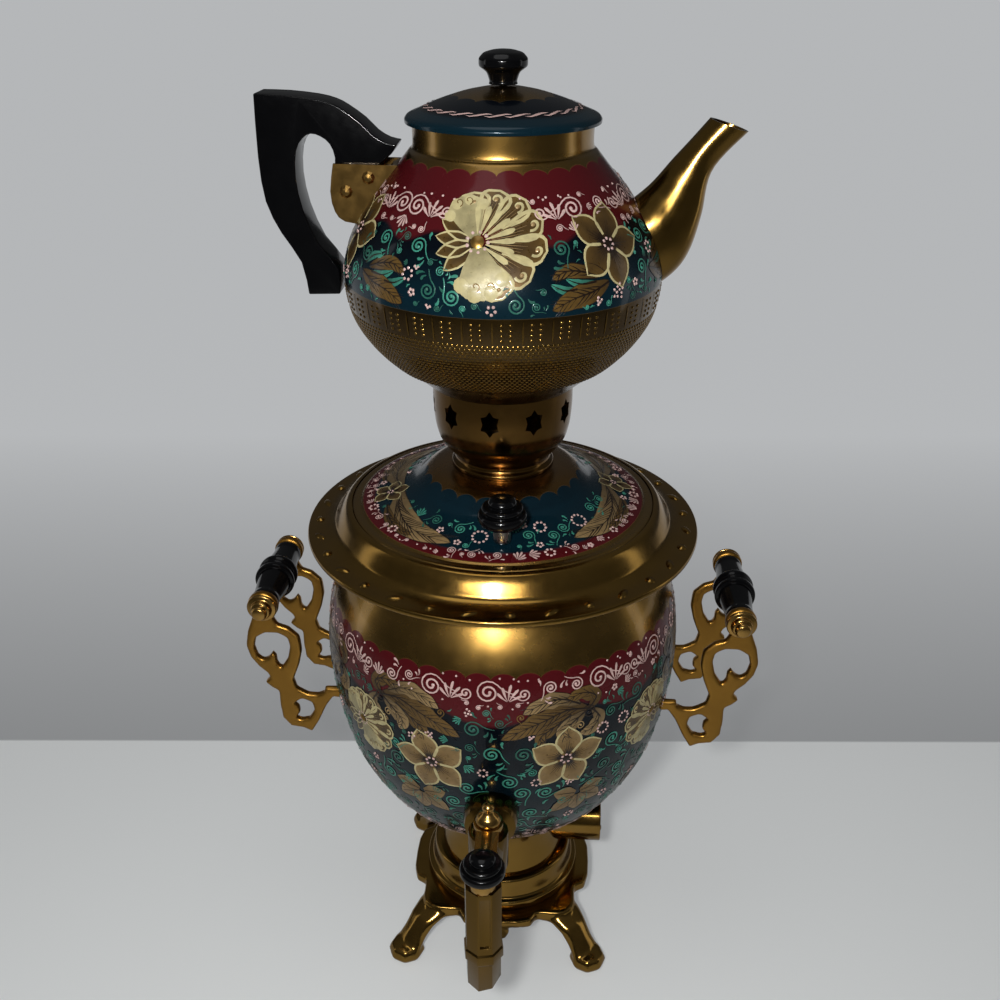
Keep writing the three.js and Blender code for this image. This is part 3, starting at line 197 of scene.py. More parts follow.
def lathe(outline, sides, closed=False):
    """Points and faces of a turned shape; a point at radius zero is one pole."""
    points, rows = [], []
    for r, z in outline:
        if r < 0.01 * MM:
            rows.append([len(points)] * sides)
            points.append((0, 0, z))
            continue
        rows.append(list(range(len(points), len(points) + sides)))
        for k in range(sides):
            turn = 2 * math.pi * k / sides
            points.append((r * math.cos(turn), r * math.sin(turn), z))
    if closed:
        rows.append(rows[0])
    faces = []
    for low, high in zip(rows, rows[1:]):
        for i in range(sides):
            j = (i + 1) % sides
            corners = list(dict.fromkeys([low[i], low[j], high[j], high[i]]))
            if len(corners) > 2:
                faces.append(corners)
    return points, faces


# Pieces


def show(name, mesh, finish, body, replaced=None, crease=35):
    """Puts a mesh in the scene as a piece that rides on a body and stands for the node it replaces."""
    mesh.name = name
    mesh.materials.clear()
    mesh.materials.append(bpy.data.materials[finish])
    mesh.shade_smooth()
    mesh.set_sharp_from_angle(angle=math.radians(crease))
    piece = bpy.data.objects.new(name, mesh)
    bpy.context.scene.collection.objects.link(piece)
    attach(piece, body)
    if replaced:
        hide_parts(replaced)
    return piece


def mesh_of(points, faces, place=None):
    """A mesh from points and faces, moved by a matrix."""
    mesh = bpy.data.meshes.new("shape")
    mesh.from_pydata([tuple(p) for p in points], [], faces)
    if place is not None:
        mesh.transform(place)
    mesh.update()
    return mesh


def upright(x=0.0, y=AXIS_Y):
    """Places a turned shape on a vertical line, which is the vessel's axis unless another is given."""
    return Matrix.Translation((x, y, 0))


def towards(direction, x, y, z):
    """Lays a turned shape's axis along a direction, with its zero height at a point of the frame."""
    turn = Vector((0, 0, 1)).rotation_difference(Vector(direction)).to_matrix().to_4x4()
    return Matrix.Translation((x, y, z)) @ turn


def turned(name, outline, finish, body, replaced, small=False, closed=False, place=upright(), lining=None):
    """A turned piece; the rows of its outline that are lined are bare tinned metal."""
    sides = sizes().small_sides if small else sizes().sides
    points, faces = lathe(outline, sides, closed)
    piece = show(name, mesh_of(points, faces, place), finish, body, replaced)
    if lining:
        piece.data.materials.append(bpy.data.materials["Steel"])
        for face in piece.data.polygons[lining[0] * sides:lining[1] * sides]:
            face.material_index = 1
    return piece


def sheet_ring(node, table, sides, share, corners):
    """An open ring of spun sheet, from a table of shares of its node's radius and height, with its corners
    rounded over a share of their sides."""
    low, high = box(node)
    outer = softened(scaled(table, high.x, high.z - low.z, low.z), share, corners)
    points, faces = lathe(outer + inside(outer, sizes().sheet)[::-1], sides, closed=True)
    return mesh_of(points, faces, upright())


def knob(name, node, body, table, radius, rise, place, corners=4):
    """A black turned knob on a thin stem; its head takes up the top of its node."""
    low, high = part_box(node)
    head = softened(scaled(table, radius, rise, high.z - rise), 0.3, corners)
    outline = [(0, low.z), (STEM_RADIUS, low.z), (STEM_RADIUS, head[0][1])] + head[1:]
    turned(name, outline, "Black plastic", body, node, small=True, place=place)


def node_copy(node):
    """A bmesh copy of a frame node, welded, with its flat faces joined up."""
    shape = bmesh.new()
    shape.from_mesh(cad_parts[node].data)
    bmesh.ops.remove_doubles(shape, verts=shape.verts, dist=0.02 * MM)
    bmesh.ops.dissolve_limit(shape, angle_limit=math.radians(1), verts=shape.verts, edges=shape.edges)
    return shape


def meshed(shape):
    """A mesh from a bmesh, which is freed."""
    mesh = bpy.data.meshes.new("shape")
    shape.to_mesh(mesh)
    shape.free()
    return mesh


def eased(node, name, finish, body, edge, sharp, segments):
    """A frame node's shape with its edges rounded that are sharper than an angle in degrees."""
    shape = node_copy(node)
    edges = [e for e in shape.edges if e.is_manifold and e.calc_face_angle() > math.radians(sharp)]
    bmesh.ops.bevel(shape, geom=edges, offset=edge, segments=segments, affect="EDGES", profile=0.5,
                    clamp_overlap=True)
    return show(name, meshed(shape), finish, body, node)


def modified(mesh, *modifiers):
    """The mesh after Blender modifiers, each given as (kind, settings)."""
    carrier = bpy.data.objects.new("carrier", mesh)
    bpy.context.scene.collection.objects.link(carrier)
    for kind, settings in modifiers:
        modifier = carrier.modifiers.new(kind.lower(), kind)
        for key, value in settings.items():
            setattr(modifier, key, value)
    graph = bpy.context.evaluated_depsgraph_get()
    result = bpy.data.meshes.new_from_object(carrier.evaluated_get(graph))
    bpy.data.objects.remove(carrier)
    return result


def cut_by(mesh, tool):
    """A mesh less another one."""
    cutter = bpy.data.objects.new("cutter", tool)
    bpy.context.scene.collection.objects.link(cutter)
    result = modified(mesh, ("BOOLEAN", {"operation": "DIFFERENCE", "object": cutter}))
    bpy.data.objects.remove(cutter)
    return result


def cast(node, name, finish, body, grain, passes):
    """A frame node's shape flowed together like a casting: rebuilt in small grains, then smoothed."""
    mesh = modified(
        meshed(node_copy(node)),
        ("REMESH", {"mode": "VOXEL", "voxel_size": grain}),
        ("SMOOTH", {"factor": 0.5, "iterations": passes}))
    return show(name, mesh, finish, body, node, crease=60)


# Finishes


class Finish:
    """A node material round one principled shader."""

    def __init__(self, name, **settings):
        self.material = bpy.data.materials.new(name)
        self.material.use_nodes = True
        self.nodes = self.material.node_tree.nodes
        self.links = self.material.node_tree.links
        self.shader = self.nodes["Principled BSDF"]
        for socket, value in settings.items():
            self.shader.inputs[socket.replace("_", " ")].default_value = value

    def add(self, kind, **settings):
        """A node with its properties or its unlinked sockets set."""
        node = self.nodes.new(kind)
        for key, value in settings.items():
            if hasattr(node, key):
                setattr(node, key, value)
            else:
                node.inputs[key].default_value = value
        return node

    def link(self, source, target):
        """Joins an output socket to an input socket."""
        self.links.new(source, target)

    def place(self):
        """The place on the piece, in the frame's metres."""
        return self.add("ShaderNodeTexCoord").outputs["Object"]

    def noise(self, scale, detail=4.0, stretch=None):
        """A noise value over the piece, stretched along an axis where that is given."""
        texture = self.add("ShaderNodeTexNoise", Scale=scale, Detail=detail)
        source = self.place()
        if stretch:
            mapping = self.add("ShaderNodeMapping", Scale=stretch)
            self.link(source, mapping.inputs["Vector"])
            source = mapping.outputs["Vector"]
        self.link(source, texture.inputs["Vector"])
        return texture.outputs["Fac"]

    def math(self, operation, first, second=None):
        """The result of a math node on sockets or numbers."""
        node = self.add("ShaderNodeMath", operation=operation)
        for socket, value in zip(node.inputs, (first, second)):
            if value is None:
                continue
            if isinstance(value, (int, float)):
                socket.default_value = value
            else:
                self.link(value, socket)
        return node.outputs[0]

    def between(self, value, low, high, start=0.0, end=1.0):
        """A value mapped from one range to another and held inside it."""
        node = self.add("ShaderNodeMapRange")
        self.link(value, node.inputs["Value"])
        for socket, number in zip(("From Min", "From Max", "To Min", "To Max"), (start, end, low, high)):
            node.inputs[socket].default_value = number
        return node.outputs["Result"]

    def blend(self, share, first, second):
        """A mix of two colours, each a socket or a colour."""
        node = self.add("ShaderNodeMix", data_type="RGBA")
        sockets = [s for s in node.inputs if s.enabled]
        for socket, value in zip(sockets, (share, first, second)):
            if isinstance(value, (int, float)):
                socket.default_value = value
            elif isinstance(value, bpy.types.NodeSocket):
                self.link(value, socket)
            else:
                socket.default_value = (*value, 1)
        return [s for s in node.outputs if s.enabled][0]

    def bump(self, height, distance, strength):
        """Sends a height to the shader's normal."""
        node = self.add("ShaderNodeBump", Strength=strength, Distance=distance)
        self.link(height, node.inputs["Height"])
        self.link(node.outputs["Normal"], self.shader.inputs["Normal"])


def dimmed(tint, share):
    """A colour at a share of its strength."""
    return tuple(share * c for c in tint)


def metal(name, light, dark, low, high, wear=0.006 * MM):
    """Metal with cloudy tarnish, a roughness between low and high, and fine scratches."""
    finish = Finish(name, Metallic=1.0)
    tarnish = finish.between(finish.noise(60), 0, 0.2, 0.35, 0.7)
    finish.link(finish.blend(tarnish, light, dark), finish.shader.inputs["Base Color"])
    polish = finish.between(finish.noise(180, 6), low, high, 0.3, 0.7)
    finish.link(polish, finish.shader.inputs["Roughness"])
    scratches = finish.noise(900, 3, (1, 1, 0.12))
    finish.bump(scratches, wear, 0.6)


def moulded(name, base, low, high):
    """Moulded plastic or rubber with a fine skin texture and a roughness between low and high."""
    finish = Finish(name, Specular_IOR_Level=0.22)
    shade = tuple(min(c * 1.3 + 0.001, 1) for c in base)
    finish.link(finish.blend(finish.noise(120), base, shade), finish.shader.inputs["Base Color"])
    finish.link(finish.between(finish.noise(300, 6), low, high, 0.3, 0.7), finish.shader.inputs["Roughness"])
    finish.bump(finish.noise(1400, 4), 0.008 * MM, 0.25)


def from_axis(finish):
    """How far a place lies from the vessel's axis in x and in y, and its height, as sockets."""
    parts = finish.add("ShaderNodeSeparateXYZ")
    finish.link(finish.place(), parts.inputs[0])
    return parts.outputs["X"], finish.math("SUBTRACT", parts.outputs["Y"], AXIS_Y), parts.outputs["Z"]


def azimuth(finish, x, y):
    """The angle round the vessel's axis, from the front to the right."""
    return finish.math("ARCTAN2", x, finish.math("MULTIPLY", y, -1))


def distance(finish, x, y):
    """How far a place lies from the vessel's axis."""
    return finish.math("SQRT", finish.math("ADD", finish.math("POWER", x, 2.0), finish.math("POWER", y, 2.0)))


def scalloped(finish, angle, count, height):
    """A height that rises in each of a count of arches round the axis."""
    wave = finish.math("SINE", finish.math("MULTIPLY", angle, count / 2))
    arch = finish.math("SQRT", finish.math("ABSOLUTE", wave))
    return finish.math("MULTIPLY", arch, height)


def above(finish, value, edge, blur=0.15 * MM):
    """One where a value lies above an edge and zero below it, with a soft change between."""
    gap = finish.math("SUBTRACT", value, edge)
    return finish.between(gap, 0, 1, -blur, blur)


def lacquered(finish):
    """The clear lacquer over the paint."""
    finish.shader.inputs["Coat Weight"].default_value = 0.3
    finish.shader.inputs["Coat Roughness"].default_value = 0.07


def paint_coat(name, bands):
    """Painted bands on gold sheet. bands(finish) gives the colour and the share of bare metal."""
    finish = Finish(name, Specular_IOR_Level=0.12)
    colour_socket, bare = bands(finish)
    finish.link(colour_socket, finish.shader.inputs["Base Color"])
    cloud = finish.noise(90, 5)
    finish.link(finish.between(bare, 0.25, 1.0), finish.shader.inputs["Metallic"])
    finish.link(finish.between(cloud, 0.23, 0.29, 0.3, 0.7), finish.shader.inputs["Roughness"])
    finish.bump(finish.noise(700, 3, (1, 1, 0.3)), 0.008 * MM, 0.5)
    lacquered(finish)


def gold_colour(finish):
    """Cloudy gold for the bare parts of a painted piece."""
    clouds = finish.between(finish.noise(50), 0, 0.12, 0.35, 0.7)
    return finish.blend(clouds, palette().gold, palette().gold_shade)


def embossed_colour(finish):
    """Darker gold for the embossed foot of the pot."""
    clouds = finish.between(finish.noise(40), 0, 0.5, 0.35, 0.65)
    return finish.blend(clouds, dimmed(palette().gold, 0.3), dimmed(palette().gold_shade, 0.6))


def field_colour(finish, low, high, height):
    """The cloudy dark field: teal to navy, its share of navy from low to high as the height goes to one."""
    lift = finish.between(height, 0, 1, low, high)
    cloud = finish.between(finish.noise(45), -0.25, 0.25, 0.3, 0.7)
    return finish.blend(finish.math("ADD", lift, cloud), palette().teal, palette().navy)


# Painting on turned walls

# How far each stroke lies above the one before, and after how many strokes that starts again
LAYER, LAYERS = 0.003 * MM, 20
# How much lower the edge of a stroke lies than its middle, in millimetres
FEATHER = 0.1


class Wall:
    """A turned wall that paint lies on, from its outline, from below upwards."""

    def __init__(self, outline):
        line = np.array(outline, float)
        self.radius, self.height = line.T
        steps = np.hypot(*np.diff(line, axis=0).T)
        self.run = np.concatenate([[0], np.cumsum(steps)])

    def at_height(self, height):
        """How far up the outline a height lies."""
        return float(np.interp(height, self.height, self.run))

    def at_radius(self, radius):
        """How far up the outline a radius lies, on a wall that narrows upwards."""
        return float(np.interp(-radius, -self.radius, self.run))

    def points(self, turn, run, lift):
        """Places on the wall, lifted off it: turn is the angle to the right of the front."""
        step = 0.5 * MM
        r = np.interp(run, self.run, self.radius)
        z = np.interp(run, self.run, self.height)
        dr = np.interp(run + step, self.run, self.radius) - np.interp(run - step, self.run, self.radius)
        dz = np.interp(run + step, self.run, self.height) - np.interp(run - step, self.run, self.height)
        span = np.hypot(dr, dz) + 1e-12
        r = r + lift * dz / span
        z = z - lift * dr / span
        return np.stack([r * np.sin(turn), AXIS_Y - r * np.cos(turn), z], axis=-1)


class Painting:
    """Brush strokes, petals and dots laid on a wall as thin sheets.

    Flat sizes and lifts are in millimetres. A tint is a colour with its share of metal.
    """

    def __init__(self, wall):
        self.wall = wall
        self.points, self.faces, self.tints = [], [], []
        self.count = 0
        self.layer = 0.0
        self.taken = np.empty((0, 3))
        self.chance = np.random.default_rng(len(wall.run))
        self.spot(0, 0)

    def spot(self, turn, run, tilt=0.0, flip=False):
        """Sets where the next strokes go: degrees to the right of the front, and metres up the wall."""
        self.turn, self.run, self.tilt = math.radians(turn), run, math.radians(tilt)
        self.side = -1 if flip else 1
        return self

    def claim(self, reach, x=0.0, y=0.0):
        """Keeps a round place near the spot for one motif, in millimetres."""
        turn = self.turn + x * self.side * MM / np.interp(self.run, self.wall.run, self.wall.radius)
        self.taken = np.vstack([self.taken, (turn, self.run + y * MM, reach * MM)])

    def is_free(self, turn, run, reach):
        """Whether a round place touches none of those that are kept."""
        apart = (math.radians(turn) - self.taken[:, 0] + math.pi) % (2 * math.pi) - math.pi
        across = apart * np.interp(run, self.wall.run, self.wall.radius)
        return bool(np.all(np.hypot(across, run - self.taken[:, 1]) > self.taken[:, 2] + reach * MM))

    def fill(self, low, high, reaches, tries, draw):
        """Fills what is free between two places up the wall with motifs, the largest first."""
        small = 1.5
        for reach in reaches:
            for _ in range(tries if reach > small else tries // 3):
                turn = self.chance.uniform(-180, 180)
                run = self.chance.uniform(low + reach * MM, high - reach * MM)
                if self.is_free(turn, run, reach * 0.8):
                    self.spot(turn, run, self.chance.uniform(0, 360), flip=bool(self.chance.integers(2)))
                    self.claim(reach)
                    draw(reach)

    def _add(self, flat, lift, tint, faces):
        """Lays flat points on the wall at the spot, with the faces turned outwards."""
        x, y = flat[..., 0] * self.side, flat[..., 1]
        c, s = math.cos(self.tilt), math.sin(self.tilt)
        u, v = (x * c - y * s) * MM, (x * s + y * c) * MM
        run = self.run + v
        radius = np.maximum(np.interp(run, self.wall.run, self.wall.radius), MM)
        self.layer = (self.layer + LAYER) % (LAYERS * LAYER)
        placed = self.wall.points(self.turn + u / radius, run, lift * MM + self.layer)
        ring = np.array([face[:3] for face in faces])
        (u0, u1, u2), (v0, v1, v2) = u[ring].T, v[ring].T
        area = np.sum((u1 - u0) * (v2 - v0) - (v1 - v0) * (u2 - u0))
        ordered = faces if area > 0 else [face[::-1] for face in faces]
        self.faces.extend([[i + self.count for i in face] for face in ordered])
        self.points.append(placed)
        self.tints.append(np.broadcast_to(tint, (len(placed), 4)))
        self.count += len(placed)

    def sheet(self, grid, lift, tint):
        """A grid of flat points, with a lift and a tint for each or for all."""
        rows, columns = grid.shape[:2]
        faces = [[i * columns + j, i * columns + j + 1, (i + 1) * columns + j + 1, (i + 1) * columns + j]
                 for i in range(rows - 1) for j in range(columns - 1)]
        lifts = np.broadcast_to(lift, (rows, columns)).reshape(-1)
        tints = np.broadcast_to(tint, (rows, columns, 4)).reshape(-1, 4)
        self._add(grid.reshape(-1, 2), lifts, tints, faces)

    def stroke(self, path, width, tint, lift):
        """A brush stroke along a path; width is a number or one for each point."""
        line = np.array(path, float)
        run = np.gradient(line, axis=0)
        run /= np.linalg.norm(run, axis=1)[:, None] + 1e-9
        side = np.stack([-run[:, 1], run[:, 0]], axis=1)
        half = np.broadcast_to(width, len(line))[:, None] / 2
        grid = np.stack([line - side * half, line, line + side * half], axis=1)
        self.sheet(grid, np.array([lift - FEATHER, lift, lift - FEATHER]), np.array(tint))

    def dot(self, x, y, radius, tint, lift, rise=0.3, stretch=1.0, tilt=0.0, sides=8):
        """A small dome of paint, round or stretched to an oval."""
        turns = np.arange(sides) * 2 * math.pi / sides
        ring = np.stack([np.cos(turns) * stretch, np.sin(turns)], axis=1) * radius
        c, s = math.cos(math.radians(tilt)), math.sin(math.radians(tilt))
        ring = ring @ np.array([[c, s], [-s, c]])
        flat = np.vstack([[0, 0], ring * 0.6, ring]) + (x, y)
        lifts = np.array([lift + rise] + [lift + rise * 0.75] * sides + [lift - FEATHER] * sides)
        faces = [[0, 1 + i, 1 + (i + 1) % sides] for i in range(sides)]
        faces += [[1 + i, 1 + sides + i, 1 + sides + (i + 1) % sides, 1 + (i + 1) % sides]
                  for i in range(sides)]
        self._add(flat, lifts, np.array(tint), faces)

    def piece(self, name, finish, body):
        """Puts the finished painting in the scene as one piece."""
        mesh = mesh_of(np.vstack(self.points), self.faces)
        tint = mesh.attributes.new("tint", "FLOAT_COLOR", "POINT")
        tint.data.foreach_set("color", np.vstack(self.tints).astype(np.float32).reshape(-1))
        show(name, mesh, finish, body, crease=60)


def rotated(points, degrees, x=0.0, y=0.0):
    """Flat points turned about the origin, then moved."""
    c, s = math.cos(math.radians(degrees)), math.sin(math.radians(degrees))
    return np.array(points, float) @ np.array([[c, s], [-s, c]]) + (x, y)


def spiral(radius, turns, tail=0.0, steps=26):
    """A scroll that winds in to its eye, with a tail that runs off below."""
    share = np.linspace(0, 1, steps)
    angle = -math.pi / 2 + turns * 2 * math.pi * share
    reach = radius * (1 - 0.85 * share)
    curl = np.stack([np.cos(angle) * reach, np.sin(angle) * reach], axis=1)
    if not tail:
        return curl
    start = np.linspace(1, 0, 8, endpoint=False)[:, None]
    run = np.concatenate([-tail * start, -radius - 0.35 * tail * start ** 2], axis=1)
    return np.vstack([run, curl])


# How wide a petal is along its length, as shares of its half width
POINTED = ((0, 0.14), (0.12, 0.3), (0.25, 0.6), (0.38, 0.88), (0.5, 1), (0.62, 0.97), (0.73, 0.84),
           (0.82, 0.62), (0.89, 0.36), (0.95, 0.14), (1, 0.01))
ROUND = ((0, 0.2), (0.15, 0.34), (0.4, 0.7), (0.62, 0.95), (0.78, 1), (0.9, 0.84), (0.97, 0.5), (1, 0.03))
SLIM = ((0, 0.1), (0.2, 0.55), (0.45, 1), (0.7, 0.86), (0.88, 0.45), (1, 0.02))
# The same for a leaf
BLADE = ((0, 0.1), (0.1, 0.4), (0.3, 0.85), (0.55, 1), (0.8, 0.7), (0.93, 0.3), (1, 0.02))


class Brush:
    """The painter's motifs, laid on one painting."""

    def __init__(self, art):
        self.art = art
        self.cream = (*palette().cream, 0.0)
        self.rose = (*palette().rose, 0.0)
        self.green = (*palette().scroll, 0.05)
        self.mist = (*dimmed(palette().scroll, 0.45), 0.05)
        self.tan = (*palette().tan, 0.2)
        self.leaf = (*palette().leaf, 0.45)
        self.leaf_dark = (*palette().leaf_dark, 0.1)
        self.gold = (*palette().gold, 0.9)
        self.wine = (*palette().crimson, 0.2)

    def petal(self, reach, half, degrees, base, rim, outline, form=POINTED, x=0.0, y=0.0, line=0.75, bend=0.0,
              lift=0.2):
        """A petal that runs out from a centre, shaded from its root to its rim, with an outline or none."""
        share = np.linspace(0.1, 1, 13)
        across = np.linspace(-1, 1, 7)
        width = half * np.interp(share, *zip(*form))
        flat = np.stack([share[:, None] * reach + 0 * across,
                         width[:, None] * across + bend * reach * share[:, None] ** 3], axis=-1)
        grid = rotated(flat.reshape(-1, 2), degrees, x, y).reshape(flat.shape)
        fade = np.clip(share[:, None] ** 0.9 * (0.5 + 0.6 * np.abs(across) ** 1.5), 0, 1)[..., None]
        self.art.sheet(grid, lift, np.array(base) * (1 - fade) + np.array(rim) * fade)
        if outline is not None:
            edge = np.vstack([grid[1:, 0], grid[-2:0:-1, -1]])
            weight = 0.55 + 0.45 * np.abs(np.sin(np.linspace(0, 2 * math.pi, len(edge))))
            self.art.stroke(edge, line * weight, outline, lift + 0.14)

    def flower(self, reach, turn, base=None, rim=None):
        """A five-petal pointed flower with dark hairs and a ring of pale beads."""
        for k in range(5):
            degrees = turn + k * 72
            self.petal(reach, reach * 0.34, degrees, base or self.leaf, rim or self.tan, self.cream,
                       bend=0.1 * (-1) ** k, line=reach * 0.055)
            for vein in (-26, -17, -9, 0, 8, 16, 25):
                far = reach * (0.6 - abs(vein) / 110 - 0.06 * (vein % 2))
                hair = [(reach * 0.1, 0), (reach * 0.3, 0.01 * vein), (far, 0.03 * vein)]
                self.art.stroke(rotated(hair, degrees + vein * 0.8), [0.75, 0.5, 0.08], self.leaf_dark, 0.3)
        self.art.dot(0, 0, reach * 0.1, self.leaf_dark, 0.34)
        self.berries(reach * 0.13, self.rose, 7, size=reach * 0.042)

    def great_flower(self, reach):
        """A large flower: a bronze fan of round petals, pale lobes and fine strokes round a gold eye."""
        for degrees in np.linspace(100, -62, 7):
            start = rotated([(reach * 0.26, 0)], degrees)[0]
            far = reach * (0.74 - 0.26 * abs(degrees + 10) / 110)
            self.petal(far, reach * 0.21, degrees, self.leaf_dark, self.leaf, self.cream, ROUND,
                       start[0], start[1], reach * 0.06)
            eye = rotated([(reach * 0.12 + far, 0)], degrees)[0]
            hook = rotated(spiral(reach * 0.1, 0.75, steps=12), degrees - 40, *eye)
            self.art.stroke(hook, reach * 0.04, self.cream, 0.38)
            self.art.dot(eye[0], eye[1], reach * 0.035, self.tan, 0.36)
        for degrees in np.linspace(112, -76, 46):
            far = reach * (0.66 + 0.05 * math.sin(degrees))
            hair = rotated([(reach * 0.2, 0), (reach * 0.45, 0), (far, 0)], degrees)
            self.art.stroke(hair, [0.2, 0.35, 0.08], self.tan, 0.4)
        shade = (*dimmed(self.cream[:3], 0.5), 0.15)
        for degrees, far, half in ((114, 0.72, 0.25), (-80, 0.82, 0.33)):
            self.petal(reach * far, reach * half, degrees, shade, self.cream, None, ROUND, lift=0.36)
            for turn, share in ((-26, 0.86), (-9, 0.98), (9, 0.98), (26, 0.86)):
                lobe = rotated([(reach * far * share * 0.9, 0)], degrees + turn)[0]
                self.art.dot(lobe[0], lobe[1], reach * half * 0.36, self.cream, 0.4, 0.15, sides=12)
        for degrees in (152, 176, 200, 224):
            self.petal(reach * 0.62, reach * 0.12, degrees, self.leaf_dark, self.leaf, self.cream, SLIM,
                       line=reach * 0.03)
        for x, y in ((-0.32, 0.56), (-0.18, 0.6), (0.02, -0.62), (0.22, -0.6)):
            hook = rotated(spiral(reach * 0.07, 0.9, steps=10), 20, x * reach, y * reach)
            self.art.stroke(hook, 0.4, self.leaf, 0.8)
        for degrees in np.linspace(94, -34, 8):
            fan = rotated([(reach * s, 0) for s in (0.12, 0.28, 0.42, 0.5, 0.54)], degrees)
            self.art.stroke(fan, np.array([0.015, 0.05, 0.085, 0.075, 0.02]) * reach, self.cream, 0.52)
        self.berries(reach * 0.15, self.rose, 9, size=reach * 0.03)
        self.art.dot(0, 0, reach * 0.1, self.gold, 0.5, 0.6)

    def leaf_form(self, path, half, veins, tint=None, lobes=0):
        """A leaf along a curved path, with a dark midrib, side veins and a wavy edge where it has lobes."""
        line = np.array(flowing(path, 7))
        run = np.gradient(line, axis=0)
        run /= np.linalg.norm(run, axis=1)[:, None]
        side = np.stack([-run[:, 1], run[:, 0]], axis=1)
        share = np.linspace(0, 1, len(line))
        width = half * np.interp(share, *zip(*BLADE))
        width *= 1 - 0.22 * np.abs(np.cos(math.pi * lobes * share)) if lobes else 1
        across = np.linspace(-1, 1, 7)
        grid = line[:, None, :] + side[:, None, :] * (width[:, None] * across)[..., None]
        fade = np.clip(0.25 + share[:, None] * 0.9 * (1 - 0.3 * (1 - np.abs(across)) ** 2), 0, 1)[..., None]
        self.art.sheet(grid, 0.16,
                       np.array(self.leaf_dark) * (1 - fade) + np.array(tint or self.leaf) * fade)
        self.art.stroke(line, 0.9 * (1 - share) + 0.2, self.leaf_dark, 0.27)
        for k in range(1, veins + 1):
            i = int(len(line) * (0.08 + 0.72 * k / veins))
            for hand in (-1, 1):
                tip = line[min(i + 5, len(line) - 1)] + side[i] * hand * width[i] * 0.86
                self.art.stroke([line[i], (line[i] + tip) / 2 + side[i] * hand * 0.3, tip], [0.6, 0.5, 0.1],
                                self.leaf_dark, 0.27)
        if veins:
            edge = np.vstack([grid[:, 0], grid[-2::-1, -1]])
            self.art.stroke(edge, 0.5, self.leaf_dark, 0.2)

    def scroll(self, radius, tint, turns, tail, degrees, x, y, width):
        """A scroll that thickens to a round eye, with a tapering tail."""
        path = rotated(spiral(radius, turns, tail), degrees, x, y)
        share = np.linspace(0, 1, len(path))
        self.art.stroke(path, width * (0.35 + 0.65 * share ** 0.7), tint, 0.3)
        self.art.dot(path[-1][0], path[-1][1], width * 0.8, tint, 0.3)

    def spray(self, reach, tint, count, spread, degrees, x, y, width):
        """A fan of comma strokes from one point, the middle one longest."""
        for turn in np.linspace(-spread / 2, spread / 2, count):
            far = reach * (1 - 0.45 * abs(turn) / max(spread, 1))
            line = rotated([(far * s, math.sin(s * 2.5) * far * 0.05) for s in (0.1, 0.35, 0.6, 0.85, 1.0)],
                           degrees + turn, x, y)
            self.art.stroke(line, np.array([0.15, 0.4, 0.8, 1.0, 0.4]) * width, tint, 0.3)

    def berries(self, reach, tint, count, size, core=None):
        """A ring of berries, on a dark round ground where a core is given."""
        if core is not None:
            self.art.dot(0, 0, reach * 0.9, core, 0.18, 0.05)
        for k in range(count):
            spot = rotated([(reach, 0)], k * 360 / count)[0]
            self.art.dot(spot[0], spot[1], size, tint, 0.28, sides=7)

    def twig(self, reach, tint):
        """A scroll with commas at its root, inside a round place."""
        width = max(0.6, min(1.2, reach * 0.16))
        self.scroll(reach * 0.6, tint, 1.8, reach * 1.0, 0, reach * 0.22, reach * 0.1, width)
        if reach > 3:
            weight = np.array([0.2, 0.7, 1.2, 1.3, 0.5]) * width
            for x, y, degrees, far in ((-0.75, -0.55, 118, 0.75), (-0.55, -0.5, 88, 0.5),
                                       (0.55, -0.75, -18, 0.55)):
                comma = [(far * reach * t, reach * 0.16 * math.sin(t * 2.6))
                         for t in (0.05, 0.35, 0.65, 0.9, 1)]
                self.art.stroke(rotated(comma, degrees, x * reach, y * reach), weight, tint, 0.3)

    def bunch(self, reach, tint):
        """A loose bunch of berries."""
        for k in range(int(reach * 2)):
            spot = rotated([(reach * 0.72 * math.sqrt((k + 0.5) / (reach * 2)), 0)], k * 137.5)[0]
            self.art.dot(spot[0], spot[1], 0.7, tint, 0.26, sides=7)

    def field_motif(self, reach):
        """One small motif of the dark field: scrolls, commas, rings and bunches of beads."""
        kind = self.art.chance.random()
        tint = self.green if self.art.chance.random() < 0.6 else self.mist
        if reach < 1.6:
            comma = [(-reach, -0.3 * reach), (0, 0.2 * reach), (reach, 0)]
            self.art.stroke(comma, [0.15, 0.75, 0.3], tint, 0.28)
        elif kind < 0.55 or reach > 6:
            self.twig(reach, tint)
        elif kind < 0.68:
            self.spray(reach * 1.5, tint, 5, 80, 90, 0, -reach * 0.75, reach * 0.26)
        elif kind < 0.9:
            self.berries(reach * 0.7, self.rose, max(5, int(reach * 2.2)), size=0.75)
        else:
            self.bunch(reach, self.rose)

    def garland(self, run, count, size, turn):
        """A ring of rose scrolls and fans of commas, a cell for each of a count, where nothing stands yet."""
        for k in range(count):
            place = turn + k * 360 / count
            if not self.art.is_free(place, run, size * 0.5):
                continue
            self.art.spot(place, run, flip=bool(k % 2))
            self.scroll(size * 0.62, self.rose, 1.9, size * 0.9, 130, -size * 0.62, size * 0.02, 1.15)
            self.scroll(size * 0.34, self.rose, 1.4, size * 0.5, -40, size * 1.12, -size * 0.1, 1.0)
            self.spray(size * 0.95, self.rose, 5, 110, 80, size * 0.36, -size * 0.5, 1.5)
            for x, y in ((0.62, 0.72), (1.3, 0.6), (-0.05, 0.75)):
                self.art.dot(x * size, y * size, 0.6, self.rose, 0.28)
            for x, reach in ((-0.62, 0.62), (0.4, 0.6), (1.1, 0.4)):
                self.art.claim(reach * size, x * size, 0)

